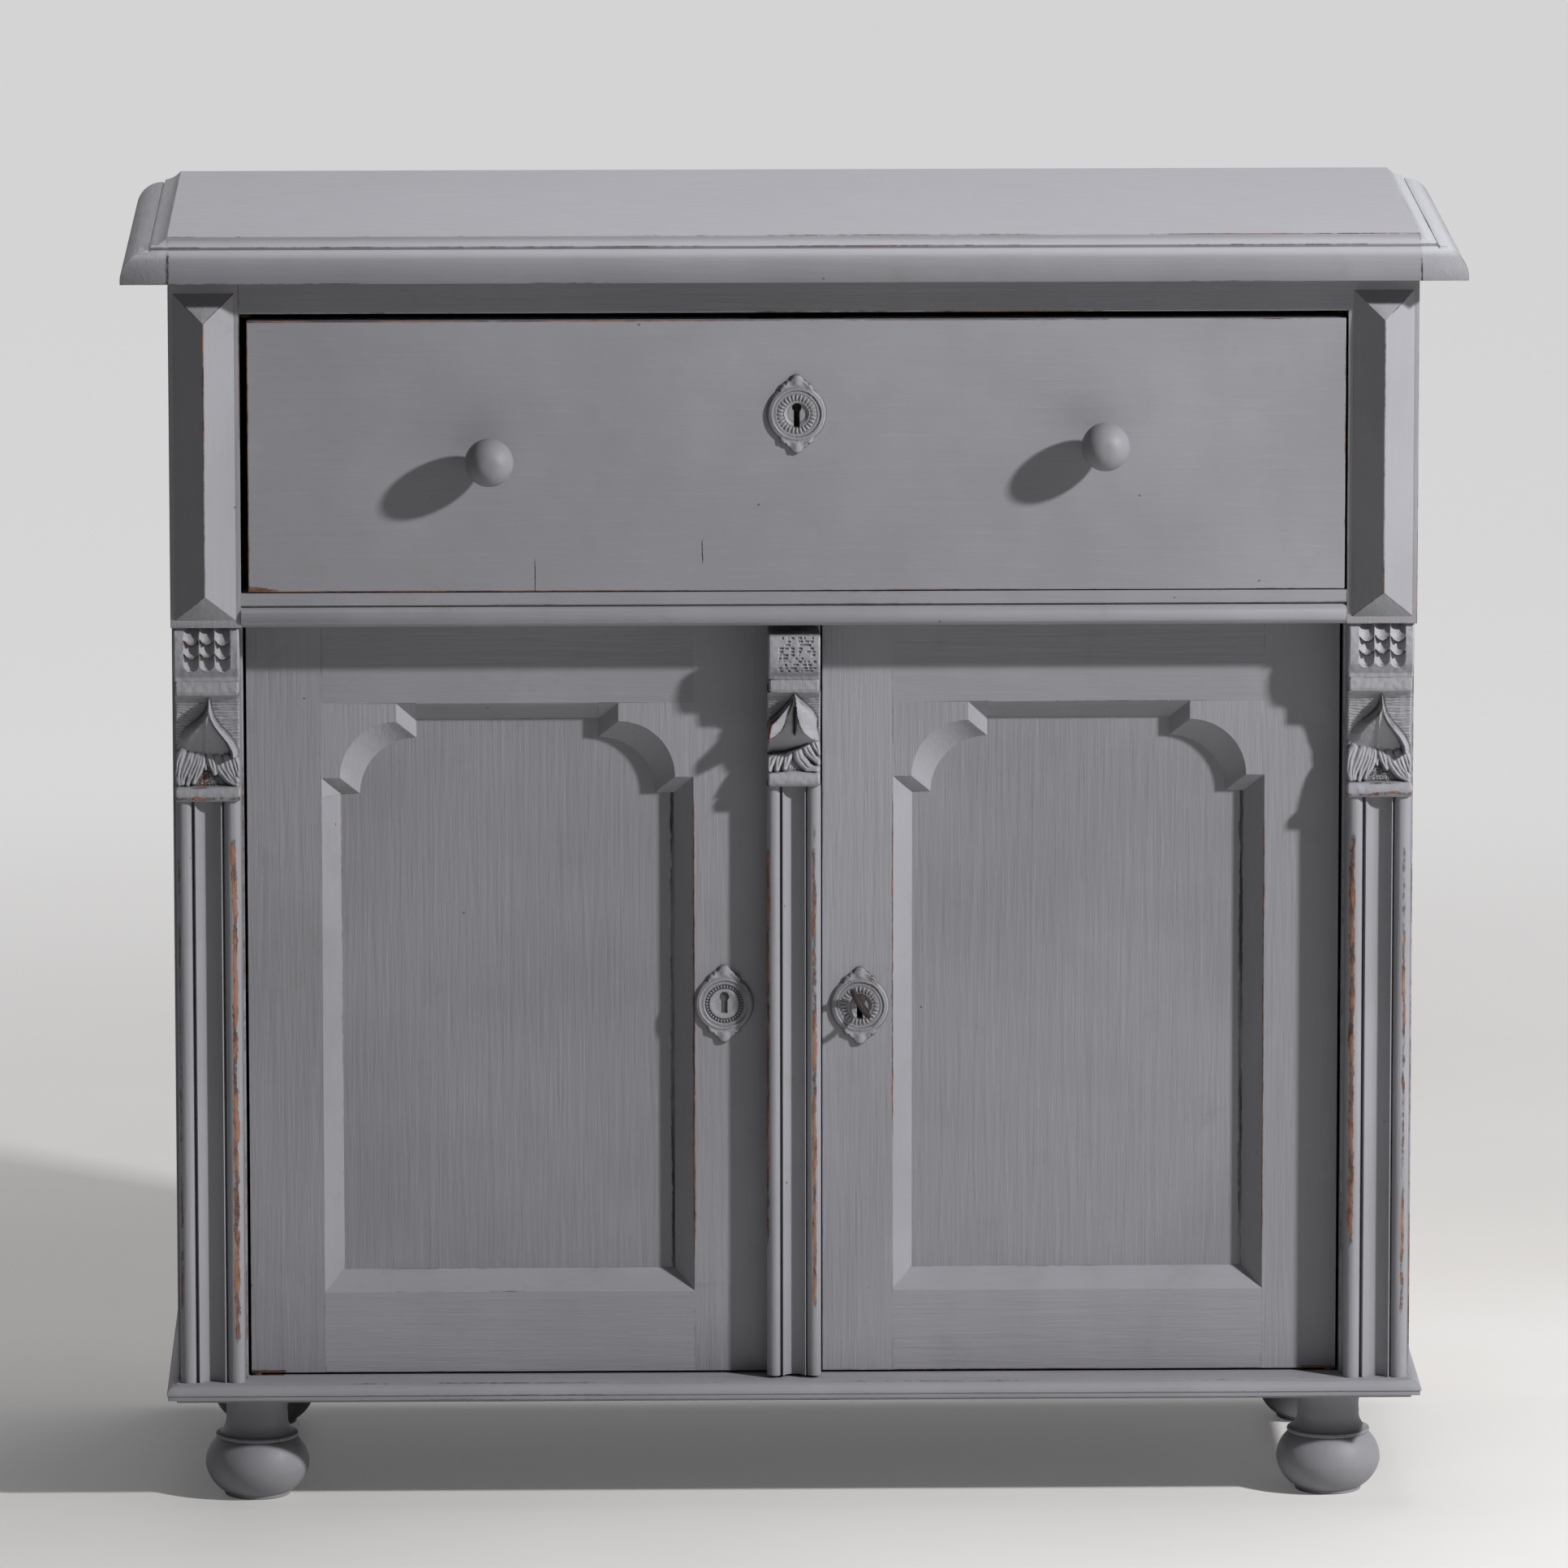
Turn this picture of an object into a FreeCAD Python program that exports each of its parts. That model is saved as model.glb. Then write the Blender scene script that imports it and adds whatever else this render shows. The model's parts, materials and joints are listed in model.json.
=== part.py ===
"""Painted pine sideboard cabinet: one long drawer over two panelled doors, on turned bun feet.

Frame: +Z up, the front faces -Y, +X to the right as seen from the front, origin on the floor
under the centre of the whole piece. Lengths are in millimetres.
"""
import FreeCAD, Part
import math
import os
import re

import Sketcher
from FreeCAD import Vector

# Every size that can be set by itself: name, value, meaning.
SIZES = {
    # whole piece
    "top_width": (1080, "length of the top board over its end cleats"),
    "top_depth": (455, "top board, front to back"),
    "overall_height": (1051, "floor to the raised field of the top"),
    "overhang_side": (37, "top beyond the side panels"),
    "overhang_front": (37, "top beyond the drawer level"),
    "overhang_back": (5, "top beyond the back boards"),
    # top board
    "top_thickness": (34, "top board"),
    "top_cleat_width": (37, "end cleat that runs front to back"),
    "top_cove_width": (13, "hollow bevel round the raised field"),
    "top_cove_drop": (7, "height of the hollow bevel"),
    "top_cove_radius": (20, "curve of the hollow bevel"),
    "top_groove_width": (1.5, "quirk between bevel and nosing"),
    "top_groove_depth": (1, "depth of the quirk below the nosing"),
    "top_step_drop": (2, "bevel foot above the nosing"),
    "top_nosing_width": (24, "rounded nosing with the quirk"),
    "top_nosing_radius": (22, "curve of the nosing"),
    "top_nosing_foot": (4, "upright edge under the nosing"),
    # heights of the front
    "foot_height": (90, "turned foot without its tenon"),
    "base_thickness": (16, "bottom board and base moulding"),
    "top_rail_height": (29, "rail above the drawer"),
    "drawer_opening_height": (227, "clear height of the drawer opening"),
    "mid_rail_height": (28, "rail between drawer and doors"),
    # posts and casing
    "post_width": (57, "front post, side to side"),
    "post_thickness": (24, "front post, front to back"),
    "post_setback": (34, "post face behind the drawer level"),
    "side_thickness": (20, "side panel"),
    "back_thickness": (12, "back boards"),
    "back_board_gap": (0.6, "shrinkage gap between back boards"),
    "top_rail_depth": (60, "rail above the drawer, front to back"),
    "mid_rail_depth": (96, "rail under the drawer, front to back"),
    "mid_rail_fascia": (10, "flat upper part of the middle rail"),
    "mid_rail_quirk": (1.5, "groove under the flat part"),
    "mid_rail_round_radius": (9, "curve of the rounded lower part"),
    "mid_rail_undercut": (3, "set back of the rounded part at its edges"),
    # faceted blocks beside the drawer
    "diamond_border_side": (4, "flat margin beside the facets"),
    "diamond_border_bottom": (6, "flat margin under the facets"),
    "diamond_border_top": (12, "flat margin above the facets"),
    "diamond_rise": (20, "ridge above the block"),
    "diamond_hip": (22, "length of the sloping ends"),
    "diamond_ridge_width": (0.8, "worn flat on the ridge"),
    # base moulding
    "base_overhang": (9, "base beyond the sides and the shafts"),
    "base_strip_width": (20, "moulding strip, side to side"),
    "base_lower_fillet": (3, "height of the lowest fillet"),
    "base_lower_inset": (8, "set back of the lowest fillet"),
    "base_upper_fillet": (4, "height of the fillet under the round"),
    "base_upper_inset": (1, "set back of that fillet"),
    "base_quirk_depth": (1, "top of the round below the flat"),
    # turned feet
    "foot_inset": (72, "foot axis from the edge of the base"),
    "foot_back_inset": (64, "back foot axis from the back edge"),
    "foot_pad_radius": (27, "flat pad on the floor"),
    "foot_pad_height": (3, "height of the pad"),
    "foot_ball_radius": (42.5, "widest part of the bun"),
    "foot_ball_level": (25, "height of the widest part"),
    "foot_shoulder_radius": (32.5, "top of the bun under the rim"),
    "foot_shoulder_level": (48, "height of the bun's shoulder"),
    "foot_lower_curve": (31, "curve of the bun below its widest part"),
    "foot_upper_curve": (28, "curve of the bun above its widest part"),
    "foot_rim_radius": (34, "thin rim over the bun"),
    "foot_rim_thickness": (4, "thickness of the rim"),
    "foot_neck_radius": (25.5, "narrowest part of the neck"),
    "foot_neck_level": (66, "height of the narrowest part"),
    "foot_neck_curve": (15, "hollow of the neck"),
    "foot_top_radius": (29, "top of the foot against the base"),
    "foot_top_height": (4, "upright edge at the top of the foot"),
    "foot_top_curve": (30, "hollow under the top edge"),
    "foot_tenon_radius": (11, "tenon into the bottom board"),
    "foot_tenon_length": (11, "length of the tenon"),
    "tenon_clearance": (0.1, "room round a turned tenon"),
    # shafts of the pilasters
    "side_shaft_width": (52, "shaft on a front post"),
    "side_shaft_reach": (17, "that shaft in front of the post"),
    "side_reed_width": (13.5, "round reed of that shaft"),
    "side_arris_width": (2, "ridge between reed and flute"),
    "side_flute_radius": (13, "hollow of that shaft"),
    "centre_shaft_width": (44, "shaft on the left door"),
    "centre_shaft_reach": (22, "that shaft in front of the door"),
    "centre_reed_width": (11.5, "round reed of that shaft"),
    "centre_arris_width": (1.5, "ridge between reed and flute"),
    "centre_flute_radius": (11, "hollow of that shaft"),
    "reed_quirk": (1.5, "groove beside a reed"),
    "flute_edge_drop": (4, "edge of the flute behind the reed's crest"),
    # capitals, side
    "side_block_height": (46, "scale block on a front post"),
    "side_block_width": (53, "width of that block"),
    "side_block_reach": (29.5, "that block in front of the post"),
    "side_fillet_height": (11, "fillet under that block"),
    "side_fillet_reach": (24, "that fillet in front of the post"),
    "side_ground_reach": (4, "ground behind the bud"),
    "side_bud_axis_reach": (0, "axis of the bud in front of the post"),
    "side_bud_radius": (23.5, "widest part of the bud"),
    "side_bud_point": (42, "tip of the bud above its widest part"),
    "side_bud_belly": (10, "bottom of the bud under its widest part"),
    "side_bud_curve": (46, "curve of the bud's flank"),
    "side_leaf_waist": (17, "leaf collar at its waist"),
    "side_leaf_radius": (22, "leaf collar at its foot"),
    "side_leaf_height": (24, "leaf collar"),
    "side_collar_height": (12, "rolled collar over the shaft"),
    "side_collar_reach": (22, "that collar in front of the post"),
    # capitals, centre
    "centre_block_drop": (7, "scale block below the top of the door"),
    "centre_block_height": (36.5, "scale block on the left door"),
    "centre_block_width": (42, "width of that block"),
    "centre_block_reach": (44.5, "that block in front of the door"),
    "centre_fillet_height": (11.5, "fillet under that block"),
    "centre_fillet_reach": (38, "that fillet in front of the door"),
    "centre_ground_reach": (14, "ground behind the bud"),
    "centre_bud_axis_reach": (14, "axis of the bud in front of the door"),
    "centre_bud_radius": (20, "widest part of the bud"),
    "centre_bud_point": (34, "tip of the bud above its widest part"),
    "centre_bud_belly": (9, "bottom of the bud under its widest part"),
    "centre_bud_curve": (36, "curve of the bud's flank"),
    "centre_leaf_waist": (14, "leaf collar at its waist"),
    "centre_leaf_radius": (18, "leaf collar at its foot"),
    "centre_leaf_height": (23, "leaf collar"),
    "centre_collar_height": (13, "rolled collar over the shaft"),
    "centre_collar_reach": (29, "that collar in front of the door"),
    # doors
    "door_setback": (14, "door face behind the post face"),
    "door_thickness": (28, "door frame"),
    "door_gap_hinge": (2.5, "door to post"),
    "door_gap_meet": (1.5, "door to door"),
    "door_gap_end": (2, "door to rail and to base"),
    "door_stile_width": (60.5, "stile at the hinges"),
    "meeting_stile_width": (57.5, "stile of the right door at the middle"),
    "door_top_rail_height": (68.5, "top rail of a door"),
    "door_bottom_rail_height": (67, "bottom rail of a door"),
    "bevel_width": (16, "bevel round the sunk panel, seen from the front"),
    "bevel_depth": (18, "panel face behind the door face"),
    "corner_step": (15, "square step of the corner blocks"),
    "corner_radius": (46, "round of the corner blocks"),
    "panel_thickness": (8, "door panel"),
    "panel_lap": (10, "rebate round the panel"),
    "panel_clearance": (0.5, "room round the panel in its rebate"),
    # pivot hinges
    "pivot_inset": (4.5, "pivot axis from the door's face and edge"),
    "pivot_pin_radius": (3, "pivot pin"),
    "pivot_pin_engage": (8, "pin inside the door"),
    "pivot_clearance": (0.08, "room round a pivot pin"),
    "pivot_bore_clearance": (0.6, "room round the pin in the wood"),
    "pivot_shoulder_radius": (5, "shoulder that carries the door"),
    "pivot_plate_thickness": (2, "pivot plate"),
    "pivot_plate_width": (12, "pivot plate, front to back"),
    "pivot_plate_length": (28, "pivot plate, side to side"),
    "pivot_plate_end": (6, "pivot plate beyond the pin"),
    # drawer
    "drawer_gap_side": (4, "drawer front to post, mean"),
    "drawer_shift": (2, "drawer front to the right of the middle"),
    "drawer_gap_bottom": (1, "drawer front to middle rail"),
    "drawer_gap_top": (6, "drawer front to top rail"),
    "drawer_front_thickness": (22, "drawer front"),
    "drawer_back_gap": (15, "drawer to back boards"),
    "drawer_side_inset": (1.5, "drawer side inside the edge of the front"),
    "drawer_side_thickness": (12, "drawer sides and back"),
    "drawer_side_drop": (7, "drawer side below the top of the drawer front"),
    "drawer_running_gap": (0.3, "drawer side above its runner"),
    "drawer_bottom_thickness": (8, "drawer bottom"),
    "drawer_bottom_rise": (10, "bottom board above the sides' lower edge"),
    "drawer_groove_depth": (5, "groove for the drawer bottom"),
    "groove_clearance": (0.2, "room round the drawer bottom in its groove"),
    "runner_width": (46, "drawer runner, side to side"),
    "runner_height": (20, "drawer runner"),
    "guide_gap": (1, "drawer side to its guide"),
    "guide_height": (18, "guide beside the drawer"),
    "kicker_gap": (2, "drawer side to the kicker that stops it from tipping"),
    # knobs
    "knob_radius": (19.5, "ball of a knob"),
    "knob_reach": (28, "middle of the ball in front of the drawer"),
    "knob_neck_radius": (9, "neck of a knob"),
    "knob_flange_radius": (12, "flange against the drawer"),
    "knob_flange_thickness": (3, "thickness of the flange"),
    "knob_tenon_radius": (6, "tenon into the drawer front"),
    "knob_tenon_length": (18, "length of the tenon"),
    "knob_spacing": (495, "knob to knob"),
    "knob_left_rise": (109, "left knob above the drawer's lower edge"),
    "knob_right_rise": (120, "right knob above the drawer's lower edge"),
    # escutcheons and keyholes
    "plate_half_width": (25, "escutcheon, half its width"),
    "plate_half_height": (32.5, "escutcheon, half its height"),
    "plate_thickness": (2.6, "escutcheon"),
    "keyhole_radius": (3.8, "round part of a keyhole"),
    "keyhole_rise": (5, "round part above the middle"),
    "keyhole_drop": (11, "slot below the middle"),
    "keyhole_slot_width": (4.8, "slot of a keyhole"),
    "blind_keyhole_depth": (1.2, "depth of the left door's blind keyhole"),
    "drawer_plate_rise": (144, "drawer escutcheon above the drawer's lower edge"),
    "left_plate_place": (56.5, "left door's escutcheon from the middle"),
    "right_plate_place": (54, "right door's escutcheon from the middle"),
    "left_plate_rise": (306, "left door's escutcheon above the door's lower edge"),
    "right_plate_rise": (304, "right door's escutcheon above the door's lower edge"),
    # locks, bolts and key
    "lock_wall": (1.6, "plate of a lock case"),
    "lock_depth": (14, "lock case, front to back"),
    "lock_half_width": (38, "drawer lock, half its width"),
    "lock_below_key": (18, "lock case below the keyhole"),
    "lock_above_key": (37, "door lock case above the keyhole"),
    "lock_edge_inset": (3.5, "door lock case from the edge of the door"),
    "lock_length": (70, "door lock case"),
    "bolt_thickness": (8, "lock bolt"),
    "bolt_height": (18, "lock bolt across its travel"),
    "bolt_length": (48, "lock bolt along its travel"),
    "bolt_slack": (0.5, "room round a bolt in its slot"),
    "bolt_above_key": (14, "lower edge of the door bolt above the key's axis"),
    "drawer_bolt_throw": (12, "travel of the drawer's bolt"),
    "slide_bolt_radius": (4, "round bolt of the left door"),
    "slide_bolt_length": (104, "that bolt"),
    "slide_bolt_throw": (12, "travel of that bolt"),
    "slide_bolt_place": (6, "axis of that bolt right of the middle"),
    "slide_bolt_standoff": (8, "axis of that bolt behind the door"),
    "slide_bolt_clearance": (0.3, "room round that bolt"),
    "slide_bolt_hole_radius": (6, "hole for that bolt in the middle rail"),
    "slide_bolt_grip_radius": (4.5, "finger knob of that bolt"),
    "slide_bolt_grip_length": (14, "finger knob in front of the bolt's axis"),
    "slide_plate_width": (26, "plate that carries that bolt"),
    "slide_plate_height": (96, "that plate"),
    "slide_plate_thickness": (2, "that plate"),
    "slide_staple_height": (9, "staple round that bolt"),
    "slide_staple_width": (16, "width of a staple"),
    "key_shank_radius": (3, "shank of the key"),
    "key_bow_radius": (14, "ring of the key, outside"),
    "key_bow_bore": (9.5, "ring of the key, inside"),
    "key_bow_thickness": (4, "ring of the key"),
    "key_bow_reach": (21, "middle of the ring in front of the door"),
    "key_collar_radius": (4.6, "collar on the shank"),
    "key_collar_thickness": (2.4, "thickness of the collar"),
    "key_bit_length": (10.5, "bit of the key from the axis"),
    "key_bit_thickness": (3.4, "thickness of the bit"),
    "key_bit_width": (9, "bit along the shank"),
    "key_rest_angle": (-33, "key from upright, in degrees"),
    # inside
    "shelf_level": (430, "top of the shelf above the floor"),
    "shelf_thickness": (16, "shelf"),
    "shelf_setback": (26, "front of the shelf behind the doors"),
    "batten_height": (22, "batten under the shelf"),
    "batten_width": (18, "batten, side to side"),
    "fit_gap": (0.3, "room at the ends of a loose board"),
    # cuts
    "overrun": (1, "how far a cut runs past its face"),
}

# Places that follow from the sizes. Each is written in sizes and in other places.
PLACES = {
    "depth_total": "top_depth + knob_reach + knob_radius - overhang_front",
    "frame_front": "knob_reach + knob_radius - depth_total / 2",
    "top_front": "frame_front - overhang_front",
    "top_back": "top_front + top_depth",
    "carcass_back": "top_back - overhang_back",
    "back_inner": "carcass_back - back_thickness",
    "post_front": "frame_front + post_setback",
    "post_back": "post_front + post_thickness",
    "door_front": "post_front + door_setback",
    "door_back": "door_front + door_thickness",
    "panel_front": "door_front + bevel_depth",
    "base_front": "post_front - side_shaft_reach - base_overhang",
    "carcass_half": "top_width / 2 - overhang_side",
    "side_inner": "carcass_half - side_thickness",
    "post_inner": "carcass_half - post_width",
    "post_middle": "carcass_half - post_width / 2",
    "base_half": "carcass_half + base_overhang",
    "base_top": "foot_height + base_thickness",
    "base_round": "base_thickness - base_lower_fillet - base_upper_fillet - base_quirk_depth",
    "carcass_top": "overall_height - top_thickness",
    "top_rail_bottom": "carcass_top - top_rail_height",
    "mid_rail_top": "top_rail_bottom - drawer_opening_height",
    "mid_rail_bottom": "mid_rail_top - mid_rail_height",
    "mid_rail_back": "frame_front + mid_rail_depth",
    "side_ground_height": "side_bud_point + side_bud_belly + side_leaf_height",
    "side_capital_bottom":
        "mid_rail_bottom - side_block_height - side_fillet_height - side_ground_height - side_collar_height",
    "centre_ground_height": "centre_bud_point + centre_bud_belly + centre_leaf_height",
    "centre_capital_top": "door_top - centre_block_drop",
    "centre_capital_bottom":
        "centre_capital_top - centre_block_height - centre_fillet_height"
        " - centre_ground_height - centre_collar_height",
    "door_bottom": "base_top + door_gap_end",
    "door_top": "mid_rail_bottom - door_gap_end",
    "door_hinge_edge": "post_inner - door_gap_hinge",
    "open_outer": "door_hinge_edge - door_stile_width",
    "open_inner": "centre_shaft_width / 2 + door_gap_meet + meeting_stile_width",
    "open_bottom": "door_bottom + door_bottom_rail_height",
    "open_top": "door_top - door_top_rail_height",
    "corner_size": "corner_step + corner_radius",
    "corner_block": "corner_size + bevel_width",
    "rebate_outer": "open_outer - bevel_width + panel_lap",
    "rebate_inner": "open_inner + bevel_width - panel_lap",
    "rebate_bottom": "open_bottom + bevel_width - panel_lap",
    "rebate_top": "open_top - bevel_width + panel_lap",
    "pivot_place": "door_hinge_edge - pivot_inset",
    "pivot_front": "door_front + pivot_inset",
    "drawer_half": "post_inner - drawer_gap_side",
    "drawer_bottom_edge": "mid_rail_top + drawer_gap_bottom",
    "drawer_top_edge": "top_rail_bottom - drawer_gap_top",
    "drawer_front_back": "frame_front + drawer_front_thickness",
    "drawer_back": "back_inner - drawer_back_gap",
    "drawer_side_half": "drawer_half - drawer_side_inset",
    "drawer_inner_half": "drawer_side_half - drawer_side_thickness",
    "drawer_side_bottom": "mid_rail_top + drawer_running_gap",
    "drawer_floor": "drawer_side_bottom + drawer_bottom_rise",
    "drawer_floor_top": "drawer_floor + drawer_bottom_thickness",
    "drawer_side_top": "drawer_top_edge - drawer_side_drop",
    "drawer_key_level": "drawer_bottom_edge + drawer_plate_rise",
    "left_key_level": "door_bottom + left_plate_rise",
    "right_key_level": "door_bottom + right_plate_rise",
    "lock_front": "drawer_front_back - lock_depth",
    "lock_left": "centre_shaft_width / 2 + door_gap_meet + lock_edge_inset",
    "slide_bolt_depth": "door_back + slide_bolt_standoff",
    "slide_bolt_top": "door_top - bolt_slack",
}

BACK_BOARDS = 5  # a count
LEFT, RIGHT = -1, 1  # mirror factors
SIDE_NAMES = {LEFT: "left", RIGHT: "right"}

doc = FreeCAD.newDocument("Cabinet")
sheet = doc.addObject("Spreadsheet::Sheet", "Sizes")
nodes = []


def fill_sheet():
    """Write every size into the sheet, as a plain number with an alias."""
    for row, (name, (value, meaning)) in enumerate(SIZES.items(), start=1):
        sheet.set(f"A{row}", name)
        sheet.set(f"B{row}", str(value))
        sheet.set(f"C{row}", meaning)
        sheet.setAlias(f"B{row}", name)
    doc.recompute()


def bound(text):
    """Return the text with each place written out and each size read from the sheet."""

    def written_out(match):
        word = match.group(0)
        if word in PLACES:
            return f"({bound(PLACES[word])})"
        return f"Sizes.{word}" if word in SIZES else word

    return re.sub(r"[a-z][a-z_]*", written_out, text)


def length(text):
    """Return the present value of an expression."""
    return float(sheet.evalExpression(bound(text)))


def bind(item, **settings):
    """Bind properties of an item to expressions. Two underscores stand for a dot."""
    for name, text in settings.items():
        item.setExpression(name.replace("__", "."), bound(text))


def place(item, x="0", y="0", z="0"):
    """Bind the position of an item."""
    bind(item, Placement__Base__x=x, Placement__Base__y=y, Placement__Base__z=z)
    return item


def node(item, label):
    """Mark an item as a sub-part: its label names its file."""
    item.Label = label
    nodes.append(item)
    return item


def span(side, near, far):
    """Return the low and the high X of a stretch from near to far on one side."""
    return (near, far) if side == RIGHT else (f"-({far})", f"-({near})")


def box(x, y, z, name="Block"):
    """Make a block from pairs of low and high expressions."""
    item = doc.addObject("Part::Box", name)
    bind(
        item,
        Length=f"({x[1]}) - ({x[0]})",
        Width=f"({y[1]}) - ({y[0]})",
        Height=f"({z[1]}) - ({z[0]})",
    )
    return place(item, x[0], y[0], z[0])


def cylinder(radius, run, x, y, z, direction=Vector(0, 0, 1), name="Round"):
    """Make a cylinder that starts at a point and runs along a direction."""
    item = doc.addObject("Part::Cylinder", name)
    item.Placement.Rotation = FreeCAD.Rotation(Vector(0, 0, 1), direction)
    bind(item, Radius=radius, Height=run)
    return place(item, x, y, z)


def fused(items, name="Fused"):
    """Join items into one solid."""
    item = doc.addObject("Part::MultiFuse", name)
    item.Shapes = items
    item.Refine = True
    return item


def shared(items, name="Shared"):
    """Keep what the items have in common."""
    item = doc.addObject("Part::MultiCommon", name)
    item.Shapes = items
    return item


def cut(base, tools, name="Cut"):
    """Take tools away from a base."""
    item = doc.addObject("Part::Cut", name)
    item.Base = base
    item.Tool = tools[0] if len(tools) == 1 else fused(tools, "Tools")
    return item


def grouped(items, name="Group"):
    """Keep like pieces together, each as a solid of its own."""
    item = doc.addObject("Part::Compound", name)
    item.Links = items
    return item


def arc_middle(start, end, radius, side):
    """Return the middle of an arc that bulges to the left (1) or the right (-1) of its chord."""
    chord = end - start
    rise = radius - math.sqrt(max(radius**2 - (chord.Length / 2) ** 2, 0))
    across = Vector(-chord.y, chord.x, 0).normalize()
    return (start + end) / 2 + across * rise * side


def trace(sketch, points):
    """Draw a closed outline and bind it.

    A point is (across, up), reached by a straight line, or (across, up, radius, side), reached
    by an arc that bulges to that side of its chord.
    """
    spots = [Vector(length(point[0]), length(point[1]), 0) for point in points]
    for index, point in enumerate(points):
        start, end = spots[index - 1], spots[index]
        if len(point) == 2:
            sketch.addGeometry(Part.LineSegment(start, end), False)
        else:
            middle = arc_middle(start, end, length(point[2]), point[3])
            sketch.addGeometry(Part.Arc(start, middle, end), False)
    tails = []
    for index, spot in enumerate(spots):
        first = sketch.getPoint(index, 1)
        at_spot = first.distanceToPoint(spot) < first.distanceToPoint(spots[index - 1])
        tails.append(1 if at_spot else 2)
    for index, point in enumerate(points):
        following = (index + 1) % len(points)
        head = 3 - tails[following]
        sketch.addConstraint(Sketcher.Constraint("Coincident", index, tails[index], following, head))
        for kind, axis, text, value in (
            ("DistanceX", -2, point[0], spots[index].x),
            ("DistanceY", -1, point[1], spots[index].y),
        ):
            if text == "0":
                sketch.addConstraint(Sketcher.Constraint("PointOnObject", index, tails[index], axis))
                continue
            number = sketch.addConstraint(Sketcher.Constraint(kind, -1, 1, index, tails[index], value))
            sketch.setExpression(f"Constraints[{number}]", bound(text))
        if len(point) > 2:
            number = sketch.addConstraint(Sketcher.Constraint("Radius", index, length(point[2])))
            sketch.setExpression(f"Constraints[{number}]", bound(point[2]))


def body_with_sketch(plane, points, name):
    """Start a body with an outline on one of its own origin planes."""
    body = doc.addObject("PartDesign::Body", name)
    sketch = body.newObject("Sketcher::SketchObject", "Outline")
    origin_plane = next(item for item in body.Origin.OriginFeatures if item.Role == plane)
    sketch.AttachmentSupport = [(origin_plane, "")]
    sketch.MapMode = "FlatFace"
    trace(sketch, points)
    return body, sketch


def padded(plane, points, run, name="Padded"):
    """Make a body of one outline and one run."""
    body, sketch = body_with_sketch(plane, points, name)
    pad = body.newObject("PartDesign::Pad", "Pad")
    pad.Profile = sketch
    bind(pad, Length=run)
    return body


def turned(plane, points, name="Turned", half=False):
    """Make a body of revolution round the outline's upright axis, or the front half of one."""
    body, sketch = body_with_sketch(plane, points, name)
    revolution = body.newObject("PartDesign::Revolution", "Revolution")
    revolution.Profile = sketch
    revolution.ReferenceAxis = (sketch, ["V_Axis"])
    revolution.Angle = 180 if half else 360
    revolution.Midplane = half
    return body


def upright_sketch(points, y, name):
    """Make an outline that stands in the front view, at a depth."""
    sketch = doc.addObject("Sketcher::SketchObject", name)
    sketch.Placement.Rotation = FreeCAD.Rotation(Vector(1, 0, 0), 90)
    trace(sketch, points)
    return place(sketch, y=y)


def top_nosing(edge, inward):
    """Return the points of the moulded edge of the top, from its foot to the raised field."""
    cove = f"{edge} {inward} top_nosing_width"
    quirk = f"{cove} {'-' if inward == '+' else '+'} top_groove_width"
    nosing_level = "overall_height - top_cove_drop - top_step_drop"
    side = 1 if inward == "+" else -1
    return [
        (edge, "carcass_top"),
        (edge, "carcass_top + top_nosing_foot"),
        (quirk, nosing_level, "top_nosing_radius", side),
        (quirk, f"{nosing_level} - top_groove_depth"),
        (cove, f"{nosing_level} - top_groove_depth"),
        (cove, "overall_height - top_cove_drop"),
        (f"{cove} {inward} top_cove_width", "overall_height", "top_cove_radius", -side),
    ]


def mirrored_outline(points):
    """Return a left half outline, from its foot up, joined with its mirror image."""
    right = []
    previous = None
    for point in reversed(points):
        x = f"-({point[0]})"
        right.append((x, point[1]) if previous is None else (x, point[1]) + previous)
        previous = point[2:] if len(point) > 2 else ()
    return points + right


def make_top():
    """Top board with its raised field and moulded front, between two moulded end cleats."""
    half = "top_width / 2"
    front = padded(
        "YZ_Plane",
        top_nosing("top_front", "+") + [("top_back", "overall_height"), ("top_back", "carcass_top")],
        "top_width",
        "TopFrontProfile",
    )
    place(front, x=f"-({half})")
    ends = padded("XZ_Plane", mirrored_outline(top_nosing(f"-{half}", "+")), "top_depth", "TopEndProfile")
    place(ends, y="top_back")
    blank = shared([front, ends], "TopBlank")
    inner = f"{half} - top_cleat_width"
    depth = ("top_front", "top_back")
    height = ("carcass_top", "overall_height")
    node(shared([blank, box((f"-({inner})", inner), depth, height)]), "top_board")
    for side, name in SIDE_NAMES.items():
        node(shared([blank, box(span(side, inner, half), depth, height)]), f"top_cleat_{name}")


def base_edge(edge, inward):
    """Return the points of the base moulding, from its lower fillet to its flat top."""
    round_level = "foot_height + base_lower_fillet + base_upper_fillet"
    side = 1 if inward == "+" else -1
    return [
        (f"{edge} {inward} base_lower_inset", "foot_height"),
        (f"{edge} {inward} base_lower_inset", "foot_height + base_lower_fillet"),
        (f"{edge} {inward} base_upper_inset", "foot_height + base_lower_fillet"),
        (f"{edge} {inward} base_upper_inset", round_level),
        (edge, round_level),
        (f"{edge} {inward} base_round", f"{round_level} + base_round", "base_round", side),
        (f"{edge} {inward} base_round", "base_top"),
    ]


def pivot_plate_span(side):
    """Return the X stretch of a pivot plate."""
    return span(side, "pivot_place + pivot_plate_end - pivot_plate_length", "pivot_place + pivot_plate_end")


PIVOT_PLATE_DEPTH = ("pivot_front - pivot_plate_width / 2", "pivot_front + pivot_plate_width / 2")


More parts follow.
